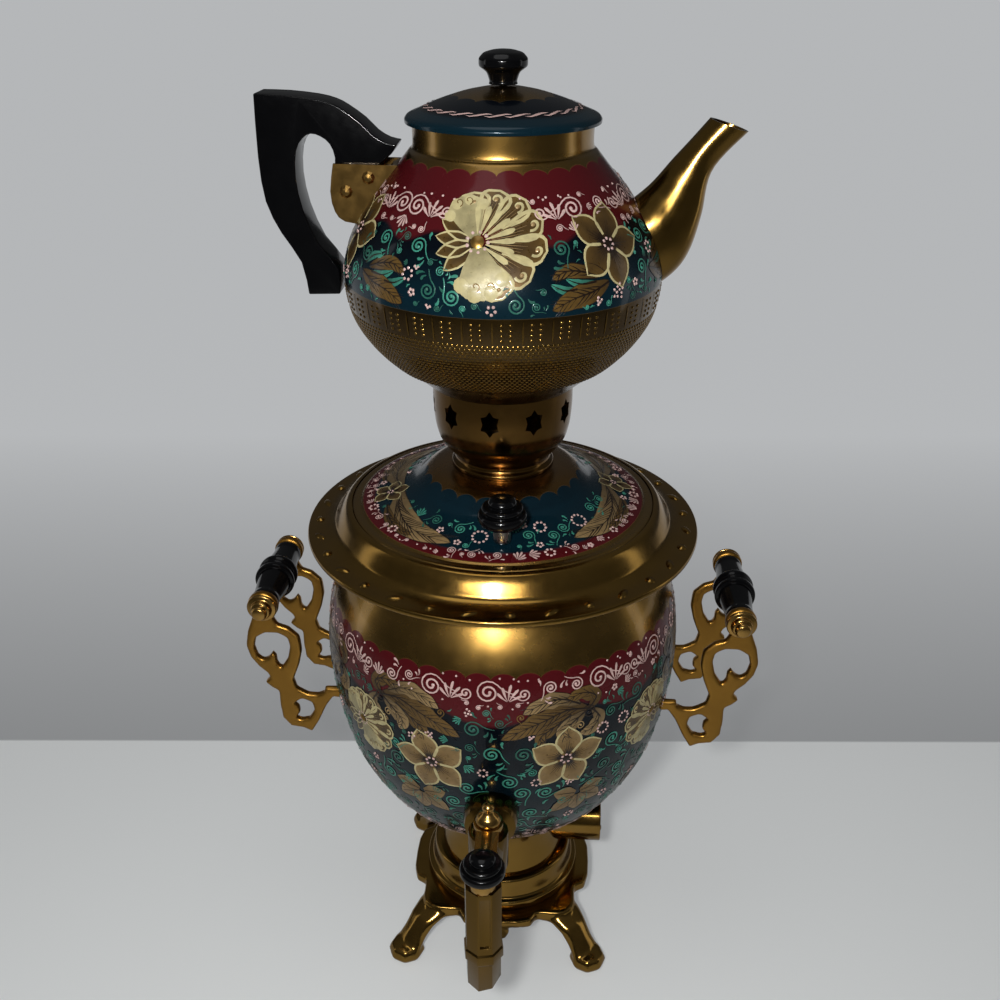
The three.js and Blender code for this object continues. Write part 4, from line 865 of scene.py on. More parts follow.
    def crimson_motif(self, reach):
        """One small motif of the crimson band: rose scrolls, fans and rings of berries."""
        kind = self.art.chance.random()
        if reach < 1.4:
            self.art.dot(0, 0, reach * 0.5, self.rose, 0.25)
        elif kind < 0.7:
            self.twig(reach, self.rose)
        elif kind < 0.92:
            self.spray(reach * 1.55, self.rose, 5, 90, 90, 0, -reach * 0.8, reach * 0.27)
        else:
            self.berries(reach * 0.58, self.rose, max(5, int(reach * 1.9)), size=0.8, core=self.wine)


# Outlines of the turned pieces, as shares of radius and height, from below upwards

FOOT_RING = ((0.985, 0), (1, 0.145), (0.995, 0.315), (0.92, 0.375), (0.9, 0.945), (0.86, 1), (0.76, 1))
PEDESTAL = ((0.98, 0), (0.98, 0.04), (0.912, 0.305), (0.888, 0.566), (0.925, 0.814), (1, 0.954), (1, 1))
VESSEL = ((0.389, 0), (0.556, 0.05), (0.7, 0.135), (0.8, 0.215), (0.9, 0.335), (0.958, 0.46), (0.99, 0.58),
          (1, 0.69), (0.99, 0.78), (0.966, 0.86), (0.918, 0.93), (0.848, 1))
CROWN = ((0.746, 0), (0.746, 0.04), (0.69, 0.07), (0.68, 0.117), (0.76, 0.183), (0.856, 0.27), (0.928, 0.365),
         (0.975, 0.517), (1, 0.735), (1, 1))
TEAPOT = ((0.49, 0), (0.597, 0.055), (0.735, 0.116), (0.865, 0.2), (0.962, 0.3), (1, 0.415), (0.99, 0.51),
          (0.933, 0.61), (0.838, 0.7), (0.75, 0.775), (0.66, 0.84), (0.58, 0.9), (0.55, 0.925), (0.55, 1))
LID = ((1, 0), (1, 0.05), (0.985, 0.08), (0.945, 0.08), (0.93, 0.13), (0.812, 0.224), (0.689, 0.353),
       (0.59, 0.526), (0.535, 0.707), (0.498, 0.836), (0.449, 0.94), (0.394, 0.987), (0.357, 1))
POT_LID = ((1, 0), (1.005, 0.1), (0.975, 0.22), (0.87, 0.34), (0.66, 0.6), (0.4, 0.84), (0.15, 0.98), (0, 1))
RING_KNOB = ((0, 0), (0.66, 0), (0.88, 0.08), (1, 0.22), (1, 0.38), (0.93, 0.46), (0.78, 0.46),
             (0.78, 0.5), (0.84, 0.54), (0.84, 0.62), (0.78, 0.68), (0.56, 0.68), (0.56, 0.72), (0.58, 0.8),
             (0.5, 0.9), (0.3, 0.98), (0, 1))
POT_KNOB = ((0, 0), (0.6, 0), (0.56, 0.1), (0.68, 0.35), (0.97, 0.5), (1, 0.56), (1, 0.74), (0.8, 0.9),
            (0.4, 0.98), (0, 1))
BELL = ((0, 0), (1, 0), (1, 0.14), (0.82, 0.34), (0.5, 0.5), (0.36, 0.62), (0.48, 0.72), (0.48, 0.84),
        (0.3, 0.96), (0, 1))
END_CAP = ((0, 0), (1, 0), (1, 0.14), (0.93, 0.2), (0.7, 0.26), (0.68, 0.46), (0.6, 0.54), (0.46, 0.58),
           (0.54, 0.68), (0.52, 0.8), (0.4, 0.94), (0, 1))
# Half of a grip: radii in millimetres against shares of its half length, from its end to its middle
HALF_GRIP = ((7.4, 0), (7.7, 0.04), (7.7, 0.1), (7.3, 0.16), (7.6, 0.3), (9.1, 0.76), (9.2, 0.79),
             (11.0, 0.8), (11.2, 0.84), (11.2, 0.89), (10.6, 0.92), (10.2, 0.94), (10.2, 0.97), (10.8, 1))
# The collar's two faces, as shares of the way from its bore to its rim and of its height
COLLAR_UPPER = ((1.0, 0.51), (0.985, 0.555), (0.93, 0.565), (0.6, 0.575), (0.36, 0.645), (0.28, 0.75),
                (0.16, 0.9), (0.08, 0.975), (0, 1))
COLLAR_UNDER = ((0.11, 0.86), (0.22, 0.72), (0.31, 0.59), (0.56, 0.505), (0.9, 0.5), (0.93, 0.46),
                (0.985, 0.465), (1.0, 0.51))
# Three lines of the spout, from its root to its lip: above and below as shares of its reach and height from
# the pot's foot, and its half width
SPOUT_UPPER = ((0.5, 0.68), (0.59, 0.745), (0.64, 0.79), (0.7, 0.855), (0.77, 0.925), (0.842, 1))
SPOUT_LOWER = ((0.62, 0.36), (0.74, 0.445), (0.8, 0.53), (0.838, 0.66), (0.868, 0.82), (1, 0.955))
SPOUT_WIDTH = tuple(half * MM for half in (15.75, 14.25, 12, 9.6, 7.8, 7.5))

# Radii of round pieces whose frame nodes have flat sides, and of the hidden fits between pieces
VESSEL_RADIUS, TEAPOT_RADIUS, POT_LID_RADIUS = 99 * MM, 77.4 * MM, 45.8 * MM
MOUTH_RADIUS, FLOOR_HOLE_RADIUS, STEM_RADIUS = 80 * MM, 13 * MM, 1.9 * MM

# Where painted bands meet: heights over the table on the two walls, distances from the axis on the two lids
VESSEL_GOLD, VESSEL_CRIMSON, VESSEL_FIELD = 0.2385, 0.2175, (0.11, 0.21)
TEAPOT_GOLD, TEAPOT_CRIMSON, TEAPOT_FIELD = 0.4705, 0.447, (0.416, 0.45)
LID_RIM, LID_CRIMSON, LID_HUMP, LID_FIELD = 0.0755, 0.069, 0.0425, (0.065, 0.045)
POT_LID_RIM, POT_LID_GOLD = 0.0385, 0.0255


# Operators


class Step:
    """What every step shares: it can be undone."""

    bl_options = {"REGISTER", "UNDO"}


# The finish of each frame node that stays, by how its name starts
NODE_FINISHES = {
    "Steel": ("bottom_cover", "cover_screw", "heater_tube", "grip_rod"),
    "Brass": ("heater_flange", "heater_nut", "inlet_pin", "saddle_nut", "lid_knob_nut", "tea_strainer",
              "teapot_handle_bracket", "handle_rivet", "teapot_lid_nut", "tap_locknut", "tap_plug",
              "plug_washer", "plug_nut"),
    "Rubber": ("heater_gasket", "tap_gasket"),
    "Insulator": ("inlet_insulator",),
}

# The lamps: place from the vessel's axis, width and height in metres, then power in watts
LAMPS = {
    "Flash": ((-0.03, -0.57, 0.60), 0.05, 0.05, 2.9),
    "Flash spread": ((-0.03, -0.58, 0.61), 0.42, 0.04, 0.8),
    "Left strip": ((-1.0, 0.05, 0.45), 0.16, 1.0, 0.36),
    "Right strip": ((1.0, 0.1, 0.45), 0.16, 1.0, 0.36),
    "Top": ((-0.1, -0.1, 1.4), 0.7, 0.7, 1.6),
}


class SAMOVAR_OT_finishes(Step, bpy.types.Operator):
    """Makes the finishes and puts them on the frame's own nodes"""

    bl_idname = "samovar.finishes"
    bl_label = "Finishes"

    def execute(self, context):
        """Builds each material once."""
        gold, shade = palette().gold, palette().gold_shade
        bronze, steel = palette().bronze, palette().steel
        metal("Gold sheet", gold, shade, 0.16, 0.22)
        metal("Polished gold", gold, shade, 0.13, 0.2)
        # A shaded copy of the gold, dimmed to half: painted shade for the tap's body.
        metal("Dark gold", dimmed(gold, 0.5), shade, 0.12, 0.2)
        # The crown's bronze is dimmed below the same bronze on the lid's hump: painted shade on the crown.
        metal("Bronze", dimmed(bronze, 0.6), dimmed(bronze, 0.35), 0.14, 0.26)
        metal("Embossed gold", dimmed(gold, 0.66), shade, 0.2, 0.3)
        metal("Brass", palette().brass, shade, 0.18, 0.25)
        metal("Cast brass", palette().cast_brass, shade, 0.3, 0.45, wear=0.05 * MM)
        metal("Steel", steel, dimmed(steel, 0.6), 0.22, 0.38)
        moulded("Black plastic", palette().plastic, 0.11, 0.15)
        moulded("Rubber", palette().rubber, 0.6, 0.8)
        moulded("Insulator", palette().insulator, 0.4, 0.55)
        self.enamel()
        for finish, starts in NODE_FINISHES.items():
            for node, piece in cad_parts.items():
                if node.startswith(starts):
                    piece.data.materials.clear()
                    piece.data.materials.append(bpy.data.materials[finish])
        return {"FINISHED"}

    def enamel(self):
        """Brushed enamel whose colour comes from the strokes."""
        finish = Finish("Enamel", Specular_IOR_Level=0.25)
        tint = finish.add("ShaderNodeAttribute", attribute_name="tint")
        cloud = finish.between(finish.noise(260, 5), 0.0, 0.28, 0.35, 0.7)
        shade = finish.blend(cloud, tint.outputs["Color"], palette().leaf_dark)
        finish.link(shade, finish.shader.inputs["Base Color"])
        finish.link(tint.outputs["Alpha"], finish.shader.inputs["Metallic"])
        polish = finish.between(finish.noise(500), 0.25, 0.45, 0.3, 0.7)
        finish.link(polish, finish.shader.inputs["Roughness"])
        finish.bump(finish.noise(1500, 3), 0.03 * MM, 0.5)
        lacquered(finish)


class SAMOVAR_OT_stage(Step, bpy.types.Operator):
    """Sets up the table, the lamps and the camera"""

    bl_idname = "samovar.stage"
    bl_label = "Stage"

    def execute(self, context):
        """Builds the stage."""
        self.table()
        self.surroundings()
        for name, settings in LAMPS.items():
            self.lamp(name, *settings)
        self.camera()
        bpy.context.scene.view_settings.view_transform = "Standard"
        return {"FINISHED"}

    def table(self):
        """The wide pale table. Past the line where the wall would stand its colour is darker, but it glows
        with painted light that grows brighter further back; the near part glows evenly for the camera.
        """
        reach, line = 60.0, AXIS_Y + 149 * MM
        corners = [(-reach, -reach, 0), (reach, -reach, 0), (reach, reach, 0), (-reach, reach, 0)]
        finish = Finish("Table", Roughness=0.5)
        parts = finish.add("ShaderNodeSeparateXYZ")
        finish.link(finish.place(), parts.inputs[0])
        swing = bpy.context.scene.samovar_view.swing
        along = finish.math("SUBTRACT", finish.math("MULTIPLY", parts.outputs["Y"], math.cos(swing)),
                            finish.math("MULTIPLY", parts.outputs["X"], math.sin(swing)))
        back = finish.between(along, 0, 1, line, line + 2 * MM)
        front = finish.math("SUBTRACT", 1.0, back)
        pale, room = palette().floor, palette().room
        top = finish.blend(finish.noise(3), pale, dimmed(pale, 0.96))
        finish.link(finish.blend(back, top, dimmed(room, 0.2)), finish.shader.inputs["Base Color"])
        path = finish.add("ShaderNodeLightPath")
        camera, glossy = path.outputs["Is Camera Ray"], path.outputs["Is Glossy Ray"]
        clear = path.outputs["Is Transmission Ray"]
        seen = finish.math("MAXIMUM", camera, finish.math("MAXIMUM", glossy, clear))
        # Painted light: past the wall's line the table glows, brighter further back, as a painted gradient of
        # light on the wall.
        far = finish.between(along, 0.34, 0.78, line, line + 0.6)
        painted_wall_glow = finish.math("MULTIPLY", finish.math("MULTIPLY", back, seen), far)
        near = finish.math("MULTIPLY", front, finish.math("MULTIPLY", camera, 0.38))
        finish.link(finish.math("ADD", painted_wall_glow, near), finish.shader.inputs["Emission Strength"])
        finish.shader.inputs["Emission Color"].default_value = (*room, 1)
        finish.bump(finish.noise(400), 0.02 * MM, 0.2)
        mesh = mesh_of(corners, [[0, 1, 2, 3]])
        mesh.materials.append(finish.material)
        floor = bpy.data.objects.new("table", mesh)
        bpy.context.scene.collection.objects.link(floor)

    def surroundings(self):
        """A soft grey room, lighter overhead."""
        world = bpy.data.worlds.new("Room")
        bpy.context.scene.world = world
        world.use_nodes = True
        nodes, links = world.node_tree.nodes, world.node_tree.links
        room = nodes["Background"]
        room.inputs["Color"].default_value = (*palette().room, 1)
        place, parts = nodes.new("ShaderNodeTexCoord"), nodes.new("ShaderNodeSeparateXYZ")
        rise = nodes.new("ShaderNodeMapRange")
        for socket, value in (("From Min", -0.1), ("From Max", 0.9), ("To Min", 0.06), ("To Max", 0.2)):
            rise.inputs[socket].default_value = value
        links.new(place.outputs["Generated"], parts.inputs[0])
        links.new(parts.outputs["Z"], rise.inputs["Value"])
        links.new(rise.outputs["Result"], room.inputs["Strength"])

    def lamp(self, name, place, width, height, power):
        """A soft oval lamp that points at the vessel."""
        light = bpy.data.lights.new(name, "AREA")
        light.shape, light.size, light.size_y, light.energy = "ELLIPSE", width, height, power
        lamp = bpy.data.objects.new(name, light)
        lamp.location = (place[0], AXIS_Y + place[1], place[2])
        aim = Vector((0, AXIS_Y, 0.25)) - lamp.location
        lamp.rotation_euler = aim.to_track_quat("-Z", "Y").to_euler()
        lamp.visible_camera = False
        bpy.context.scene.collection.objects.link(lamp)

    def camera(self):
        """The photographer's place."""
        view = bpy.context.scene.samovar_view
        data = bpy.data.cameras.new("Camera")
        data.lens = view.lens
        camera = bpy.data.objects.new("Camera", data)
        camera.location = (view.distance * math.sin(view.swing),
                           AXIS_Y - view.distance * math.cos(view.swing), view.height)
        camera.rotation_euler = (math.pi / 2 - view.pitch, 0, view.swing + view.aside)
        bpy.context.scene.collection.objects.link(camera)
        bpy.context.scene.camera = camera


class SAMOVAR_OT_base(Step, bpy.types.Operator):
    """Builds the cast stand, the foot ring, the pedestal and the inlet's shroud"""

    bl_idname = "samovar.base"
    bl_label = "Base"

    def execute(self, context):
        """Builds the base."""
        cast("base_stand", "stand", "Polished gold", "samovar", grain=0.8 * MM, passes=24)
        ring = sheet_ring("foot_ring", FOOT_RING, sizes().sides, share=0.35, corners=5)
        show("base_ring", ring, "Polished gold", "samovar", "foot_ring")
        waist = self.pierced(sheet_ring("pedestal", PEDESTAL, sizes().sides, share=0.35, corners=5))
        show("waist", waist, "Polished gold", "samovar", "pedestal")
        self.shroud()
        return {"FINISHED"}

    def pierced(self, mesh):
        """The pedestal's sheet with the inlet's hole."""
        low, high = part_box("inlet_shroud")
        radius = (high.z - low.z) / 2 + 0.3 * MM
        points, faces = lathe([(0, 0), (radius, 0), (radius, high.x), (0, high.x)], sizes().small_sides)
        place = towards((1, 0, 0), low.x - 10 * MM, AXIS_Y, (low.z + high.z) / 2)
        return cut_by(mesh, mesh_of(points, faces, place))

    def shroud(self):
        """The turned shroud round the pins."""
        low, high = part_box("inlet_shroud")
        radius, reach = (high.z - low.z) / 2, high.x - low.x
        bore, lip = radius - sizes().sheet, reach * 0.9
        corners = [(bore, 0), (radius, 0), (radius, lip), (radius, reach), (bore, reach), (bore, lip)]
        place = towards((1, 0, 0), low.x, AXIS_Y, (low.z + high.z) / 2)
        turned("inlet_collar", softened(corners, 0.2), "Polished gold", "samovar", "inlet_shroud", small=True,
               closed=True, place=place)


def vessel_outline():
    """The vessel's painted wall, from its floor to its shoulder."""
    low, high = box("vessel")
    return flowing(scaled(VESSEL, VESSEL_RADIUS, high.z - sizes().lip - low.z, low.z), 8)


def vessel_bands(finish):
    """Gold shoulder with a scalloped edge, crimson, then the dark field."""
    x, y, z = from_axis(finish)
    angle = azimuth(finish, x, y)
    edge = scalloped(finish, angle, sizes().scallops, 3.4 * MM)
    bare = above(finish, z, finish.math("ADD", VESSEL_GOLD, edge))
    swell = finish.math("MULTIPLY", finish.math("COSINE", finish.math("MULTIPLY", angle, 8)), -5 * MM)
    red = above(finish, z, finish.math("ADD", swell, VESSEL_CRIMSON), 1.2 * MM)
    field = field_colour(finish, 0.0, 1.0, finish.between(z, 0, 1, *VESSEL_FIELD))
    painted = finish.blend(red, field, palette().crimson)
    return finish.blend(bare, painted, gold_colour(finish)), bare


class SAMOVAR_OT_vessel(Step, bpy.types.Operator):
    """Builds the painted vessel"""

    bl_idname = "samovar.vessel"
    bl_label = "Vessel"

    def execute(self, context):
        """Builds the spun vessel and lays its painting on it."""
        paint_coat("Vessel paint", vessel_bands)
        wall, hole, mouth = sizes().sheet, FLOOR_HOLE_RADIUS, MOUTH_RADIUS
        outer = vessel_outline()
        floor, shoulder, top = outer[0][1], outer[-1][1], box("vessel")[1].z
        outline = [(hole, floor), *outer, (mouth, shoulder + 0.2 * MM), (mouth, top),
                   (mouth - wall, top), (mouth - wall, shoulder - wall), *inside(outer, wall)[-3:1:-1],
                   (outer[0][0], floor + wall), (hole, floor + wall)]
        lining = (len(outer) + 3, len(outline))
        turned("vessel_shell", outline, "Vessel paint", "samovar", "vessel", closed=True, lining=lining)
        art = Painting(Wall(outer))
        brush = Brush(art)
        self.flowers(art, brush)
        self.leaves(art, brush)
        self.foot(art, brush)
        at, garland = art.wall.at_height, 0.2322
        brush.garland(at(garland), 21, 10.2, 3)
        for low, high, reaches, tries, draw in (
                (0.2215, 0.2395, (6, 4.6, 3.2, 2.2, 1.1), 1000, brush.crimson_motif),
                (0.126, 0.224, (8, 6.2, 4.6, 3.4, 2.4, 1.4), 2500, brush.field_motif),
                (0.106, 0.126, (5, 3.6, 2.2), 500, brush.crimson_motif)):
            art.fill(at(low), at(high), reaches, tries, draw)
        art.piece("vessel_painting", "Enamel", "samovar")
        return {"FINISHED"}

    def flowers(self, art, brush):
        """Pointed flowers and lobed flowers round the middle."""
        pointed, lobed = 0.184, 0.192
        for k, turn in enumerate((-18.5, 23, 93, 161, 199, 272)):
            art.spot(turn, art.wall.at_height(pointed + 0.004 * (k % 2)), tilt=10 * (-1) ** k)
            brush.flower(21, 94)
            art.claim(16)
        for turn, flip in ((-45.5, False), (58, True), (128, True), (232, False)):
            art.spot(turn, art.wall.at_height(lobed), tilt=-14 if flip else 14, flip=flip)
            brush.great_flower(24)
            art.claim(21)

    def leaves(self, art, brush):
        """Sweeping bronze leaves between the crimson band and the dark field."""
        height = 0.214
        for k, turn in enumerate((-70, -23, 17, 82, 105, 151, 209, 256)):
            art.spot(turn, art.wall.at_height(height), flip=k % 2 == 0)
            brush.leaf_form([(-22, 3), (-26, 9), (-18, 13), (-9, 10)], 4.8, 5, lobes=3)
            brush.leaf_form([(-17, 7), (-7, 12), (3, 11), (13, 6)], 5.2, 6, brush.tan, 3)
            brush.leaf_form([(-22, 3), (-10, 5), (2, 1), (12, -3), (24, -9)], 7.4, 9, lobes=4)
            brush.leaf_form([(-20, 2), (-13, -3), (-8, -8), (-10, -14)], 5.0, 5, brush.tan)
            brush.leaf_form([(-12, 2), (-4, -3), (4, -9), (2, -15)], 4.6, 5, lobes=3)
            brush.leaf_form([(-24, 2), (-28, -4), (-24, -10), (-17, -11)], 4.4, 4, brush.tan)
            brush.scroll(4.0, brush.leaf_dark, 1.6, 3, 150, -22, 1, 1.0)
            brush.scroll(2.6, brush.tan, 1.3, 5, 150, -17, -6, 0.8)
            brush.scroll(2.2, brush.leaf, 1.2, 4, 40, 14, 4, 0.8)
            for x, y, reach in ((-20, 7, 7), (-9, 7, 8), (4, 5, 8), (13, -1, 6), (21, -7, 4), (-12, -6, 6),
                                (-1, -7, 6), (-24, -4, 6)):
                art.claim(reach, x, y)

    def foot(self, art, brush):
        """Fans of pale leaves under the flowers and bronze pairs between them."""
        fans, pairs, root = 0.151, 0.140, 7
        for k, turn in enumerate((-24, 29, 90, 158, 202, 270)):
            art.spot(turn, art.wall.at_height(fans), flip=bool(k % 2))
            for degrees, reach in ((162, 16), (210, 19), (260, 17), (312, 19), (12, 15)):
                brush.petal(reach, 5.6, degrees, brush.leaf, brush.tan, brush.leaf_dark, SLIM, y=root,
                            line=0.4, bend=0.08)
                vein = rotated([(2, 0), (reach * 0.5, 0.4), (reach * 0.85, 0)], degrees, 0, root)
                art.stroke(vein, [0.7, 0.5, 0.1], brush.leaf_dark, 0.4)
            for degrees in (140, 240, 340):
                brush.scroll(3, brush.green, 1.4, 5, degrees, *rotated([(9, 0)], degrees, 0, root)[0], 0.7)
            art.claim(10, 0, 4)
            art.claim(8, -8, -4)
            art.claim(8, 8, -4)
        for turn in (-52, 0, 60, 124, 180, 236):
            for flip in (False, True):
                art.spot(turn, art.wall.at_height(pairs), flip=flip)
                brush.leaf_form([(1, -9), (6, -2), (8, 6), (4, 13)], 3.8, 5)
                art.claim(4.5, 5, 3)


def collar_outline():
    """The collar's section: its upper face from the rolled rim inwards, then its neck and its under face."""
    low, high = box("collar")
    bore, rim, top = 82.6 * MM, high.x, high.z
    width, height = rim - bore, top - low.z
    upper, under = (softened([(bore + share * width, low.z + level * height) for share, level in line], 0.35)
                    for line in (COLLAR_UPPER, COLLAR_UNDER))
    seat, hole, neck, clear = (radius * MM for radius in (81.6, 77.9, 80.3, 81.9))
    ledge, step = top - 1.9 * MM, top - 3.5 * MM
    inner = [(seat, top), (seat, ledge), (hole, ledge), (hole, step), (neck, step), (neck, low.z),
             (clear, low.z), (clear, low.z + 18 * MM)]
    return upper, inner + under[:-1]


class SAMOVAR_OT_collar(Step, bpy.types.Operator):
    """Builds the wide collar with its embossed rim"""

    bl_idname = "samovar.collar"
    bl_label = "Collar"

    def execute(self, context):
        """Builds the sheet, then its embossed marks."""
        upper, rest = collar_outline()
        turned("collar_sheet", (upper + rest)[::-1], "Gold sheet", "samovar", "collar", closed=True)
        art = Painting(Wall(upper))
        count, radius, bare = sizes().beads, 99.6 * MM, (1, 1, 1, 1)
        for k in range(count):
            art.spot((k + 0.5) * 360 / count, art.wall.at_radius(radius))
            if k % 2:
                art.dot(0, 0, 2.0, bare, lift=0.1, rise=1.0, stretch=2.2, tilt=28, sides=16)
            else:
                art.dot(0, 0, 2.6, bare, lift=0.1, rise=1.2, sides=16)
        art.piece("collar_marks", "Gold sheet", "samovar")
        return {"FINISHED"}


def lid_outline():
    """The lid's top, from its rim to the hump, which is 5 mm below the top of its spigot."""
    radius, height, bottom = 81.3 * MM, 23.2 * MM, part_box("collar")[1].z - 1.6 * MM
    return softened(scaled(LID, radius, height, bottom), 0.35)


def lid_bands(finish):
    """Painted rim, dark field and bronze hump with a scalloped edge."""
    x, y, _ = from_axis(finish)
    angle, radius = azimuth(finish, x, y), distance(finish, x, y)
    edge = scalloped(finish, angle, 24, 3.0 * MM)
    painted = above(finish, radius, finish.math("SUBTRACT", LID_HUMP, edge))
    red = above(finish, radius, LID_CRIMSON, 0.8 * MM)
    rim = above(finish, radius, LID_RIM)
    dark = field_colour(finish, 0.9, 1.3, finish.between(radius, 0, 1, *LID_FIELD))
    clouds = finish.between(finish.noise(60), 0, 0.5, 0.35, 0.65)
    hump = finish.blend(clouds, palette().bronze, palette().gold_shade)
    inner = finish.blend(painted, hump, finish.blend(red, dark, palette().crimson))
    bare = finish.math("MAXIMUM", finish.math("SUBTRACT", 1.0, painted), rim)
    return finish.blend(rim, inner, gold_colour(finish)), bare


class SAMOVAR_OT_lid(Step, bpy.types.Operator):
    """Builds the samovar's painted lid with its two knobs"""

    bl_idname = "samovar.lid"
    bl_label = "Lid"

    def execute(self, context):
        """Builds the lid, its painting, the ferrules and the knobs."""
        wall, rise, depth = sizes().sheet, 5 * MM, 8 * MM
        outer = lid_outline()
        inner = inside(outer, wall)[-2:12:-1]
        bottom, hump = outer[0][1], outer[-1][1]
        skirt, spigot = 77.4 * MM, 21.8 * MM
        outline = [(0, hump + rise - wall), (spigot - wall, hump + rise - wall), (spigot - wall, hump - wall),
                   *inner, (skirt - wall, bottom), (skirt - wall, bottom - depth), (skirt, bottom - depth),
                   (skirt, bottom), *outer, (spigot, hump), (spigot, hump + rise), (0, hump + rise)]
        paint_coat("Lid paint", lid_bands)
        turned("lid_dome", outline, "Lid paint", "samovar_lid", "lid", lining=(0, len(inner) + 4))
        self.painting(outer)
        for end in ("front", "rear"):
            self.knob_on_ferrule(end)
        return {"FINISHED"}

    def painting(self, outer):
        """Outlined flowers, long feather leaves along the rim, green scrolls and pale rim strokes."""
        art = Painting(Wall(outer))
        brush = Brush(art)
        at, knobs = art.wall.at_radius, (3.3, 183.3)
        leaves, flowers = 61 * MM, 60.5 * MM
        for turn in knobs:
            art.spot(turn, at(leaves)).claim(6)
        for turn, flip in ((-47, False), (64, True), (131, False), (247, True)):
            art.spot(turn, at(leaves), flip=flip)
            brush.leaf_form([(-30, 7), (-14, 1), (6, -4), (31, -4.5)], 7.6, 13, brush.tan)
            brush.leaf_form([(-24, -3), (-14, -6), (-2, -8), (10, -8)], 3.2, 7)
            for x, y in ((-26, 5), (-16, 1), (-6, -2), (4, -4), (14, -5), (24, -5)):
                art.claim(6, x, y)
        for turn in (-80, 98.6, 190):
            art.spot(turn, at(flowers), tilt=turn)
            brush.flower(11, 90, brush.leaf_dark, brush.leaf)
            art.claim(9.5)
        art.fill(at(68 * MM), at(50 * MM), (5.4, 4.2, 3, 2, 1.2), 900, brush.field_motif)
        art.fill(at(75 * MM), at(66.5 * MM), (4, 2.9, 1.9, 1), 700, brush.crimson_motif)
        art.piece("lid_painting", "Enamel", "samovar_lid")

    def knob_on_ferrule(self, end):
        """A ferrule and the ringed knob on it."""
        ferrule, node = f"knob_ferrule_{end}", f"lid_knob_{end}"
        low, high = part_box(ferrule)
        bore, radius = 2.2 * MM, (high.x - low.x) / 2
        foot, neck, seat = low.z + 1.5 * MM, high.z - 2 * MM, high.z
        corners = [(bore, foot), (radius, foot), (radius, neck), (radius, seat), (bore, seat)]
        place = upright(*middle(ferrule).xy)
        turned(f"ferrule_{end}", softened(corners, 0.25), "Steel", "samovar_lid", ferrule, small=True,
               closed=True, place=place)
        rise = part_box(node)[1].z - seat - 0.3 * MM
        knob(f"knob_{end}", node, "samovar_lid", RING_KNOB, 12.2 * MM, rise, place)


class SAMOVAR_OT_crown(Step, bpy.types.Operator):
    """Builds the pierced crown"""

    bl_idname = "samovar.crown"
    bl_label = "Crown"

    def execute(self, context):
        """Builds the ring and cuts its stars."""
        sides, level = 160, 34.5 * MM
        ring = sheet_ring("crown", CROWN, sides, share=0.3, corners=4)
        stars = self.stars(box("crown")[0].z + level)
        # The crown takes the dimmed bronze, whose colour holds painted shade.
        show("crown_ring", cut_by(ring, stars), "Bronze", "crown_ring", "crown")
        return {"FINISHED"}

    def stars(self, rise):
        """Ten six-pointed prisms through the wall."""
        count, first, corners = 10, -97, 12
        notch, half_width, half_height = 0.7, 5.3 * MM, 7 * MM
        shape = bmesh.new()
        for k in range(count):
            out = rotated([(1, 0)], first + k * 360 / count)[0]
            rings = []
            for reach in (25 * MM, 45 * MM):
                ring = []
                for i in range(corners):
                    share = 1 if i % 2 == 0 else notch
                    a = i * 2 * math.pi / corners + math.pi / 2
                    side, up = math.cos(a) * share * half_width, math.sin(a) * share * half_height
                    ring.append(shape.verts.new((out[0] * reach - out[1] * side,
                                                 AXIS_Y + out[1] * reach + out[0] * side, rise + up)))
                rings.append(ring)
            for i in range(corners):
                j = (i + 1) % corners
                shape.faces.new((rings[0][i], rings[1][i], rings[1][j], rings[0][j]))
            shape.faces.new(rings[0])
            shape.faces.new(rings[1][::-1])
        bmesh.ops.recalc_face_normals(shape, faces=shape.faces)
        return meshed(shape)


def teapot_outline():
    """The teapot's wall from its foot to its rim."""
    height, bottom = 126.2 * MM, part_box("crown")[1].z + 0.3 * MM
    return flowing(scaled(TEAPOT, TEAPOT_RADIUS, height, bottom), 8)


def teapot_bands(finish):
    """Gold neck with scallops, crimson, dark field, then the bare embossed foot."""
    x, y, z = from_axis(finish)
    angle = azimuth(finish, x, y)
    edge = scalloped(finish, angle, 26, 2.4 * MM)
    neck = above(finish, z, finish.math("ADD", TEAPOT_GOLD, edge))
    foot = finish.math("SUBTRACT", 1.0, above(finish, z, TEAPOT_FIELD[0]))
    swell = finish.math("MULTIPLY", finish.math("SINE", finish.math("MULTIPLY", angle, 12)), 2.5 * MM)
    red = above(finish, z, finish.math("ADD", swell, TEAPOT_CRIMSON), 1.0 * MM)
    field = field_colour(finish, 0.1, 0.8, finish.between(z, 0, 1, *TEAPOT_FIELD))
    painted = finish.blend(red, field, palette().crimson)
    metal_share = finish.math("MAXIMUM", neck, foot)
    bare = finish.blend(foot, gold_colour(finish), embossed_colour(finish))
    return finish.blend(metal_share, painted, bare), metal_share


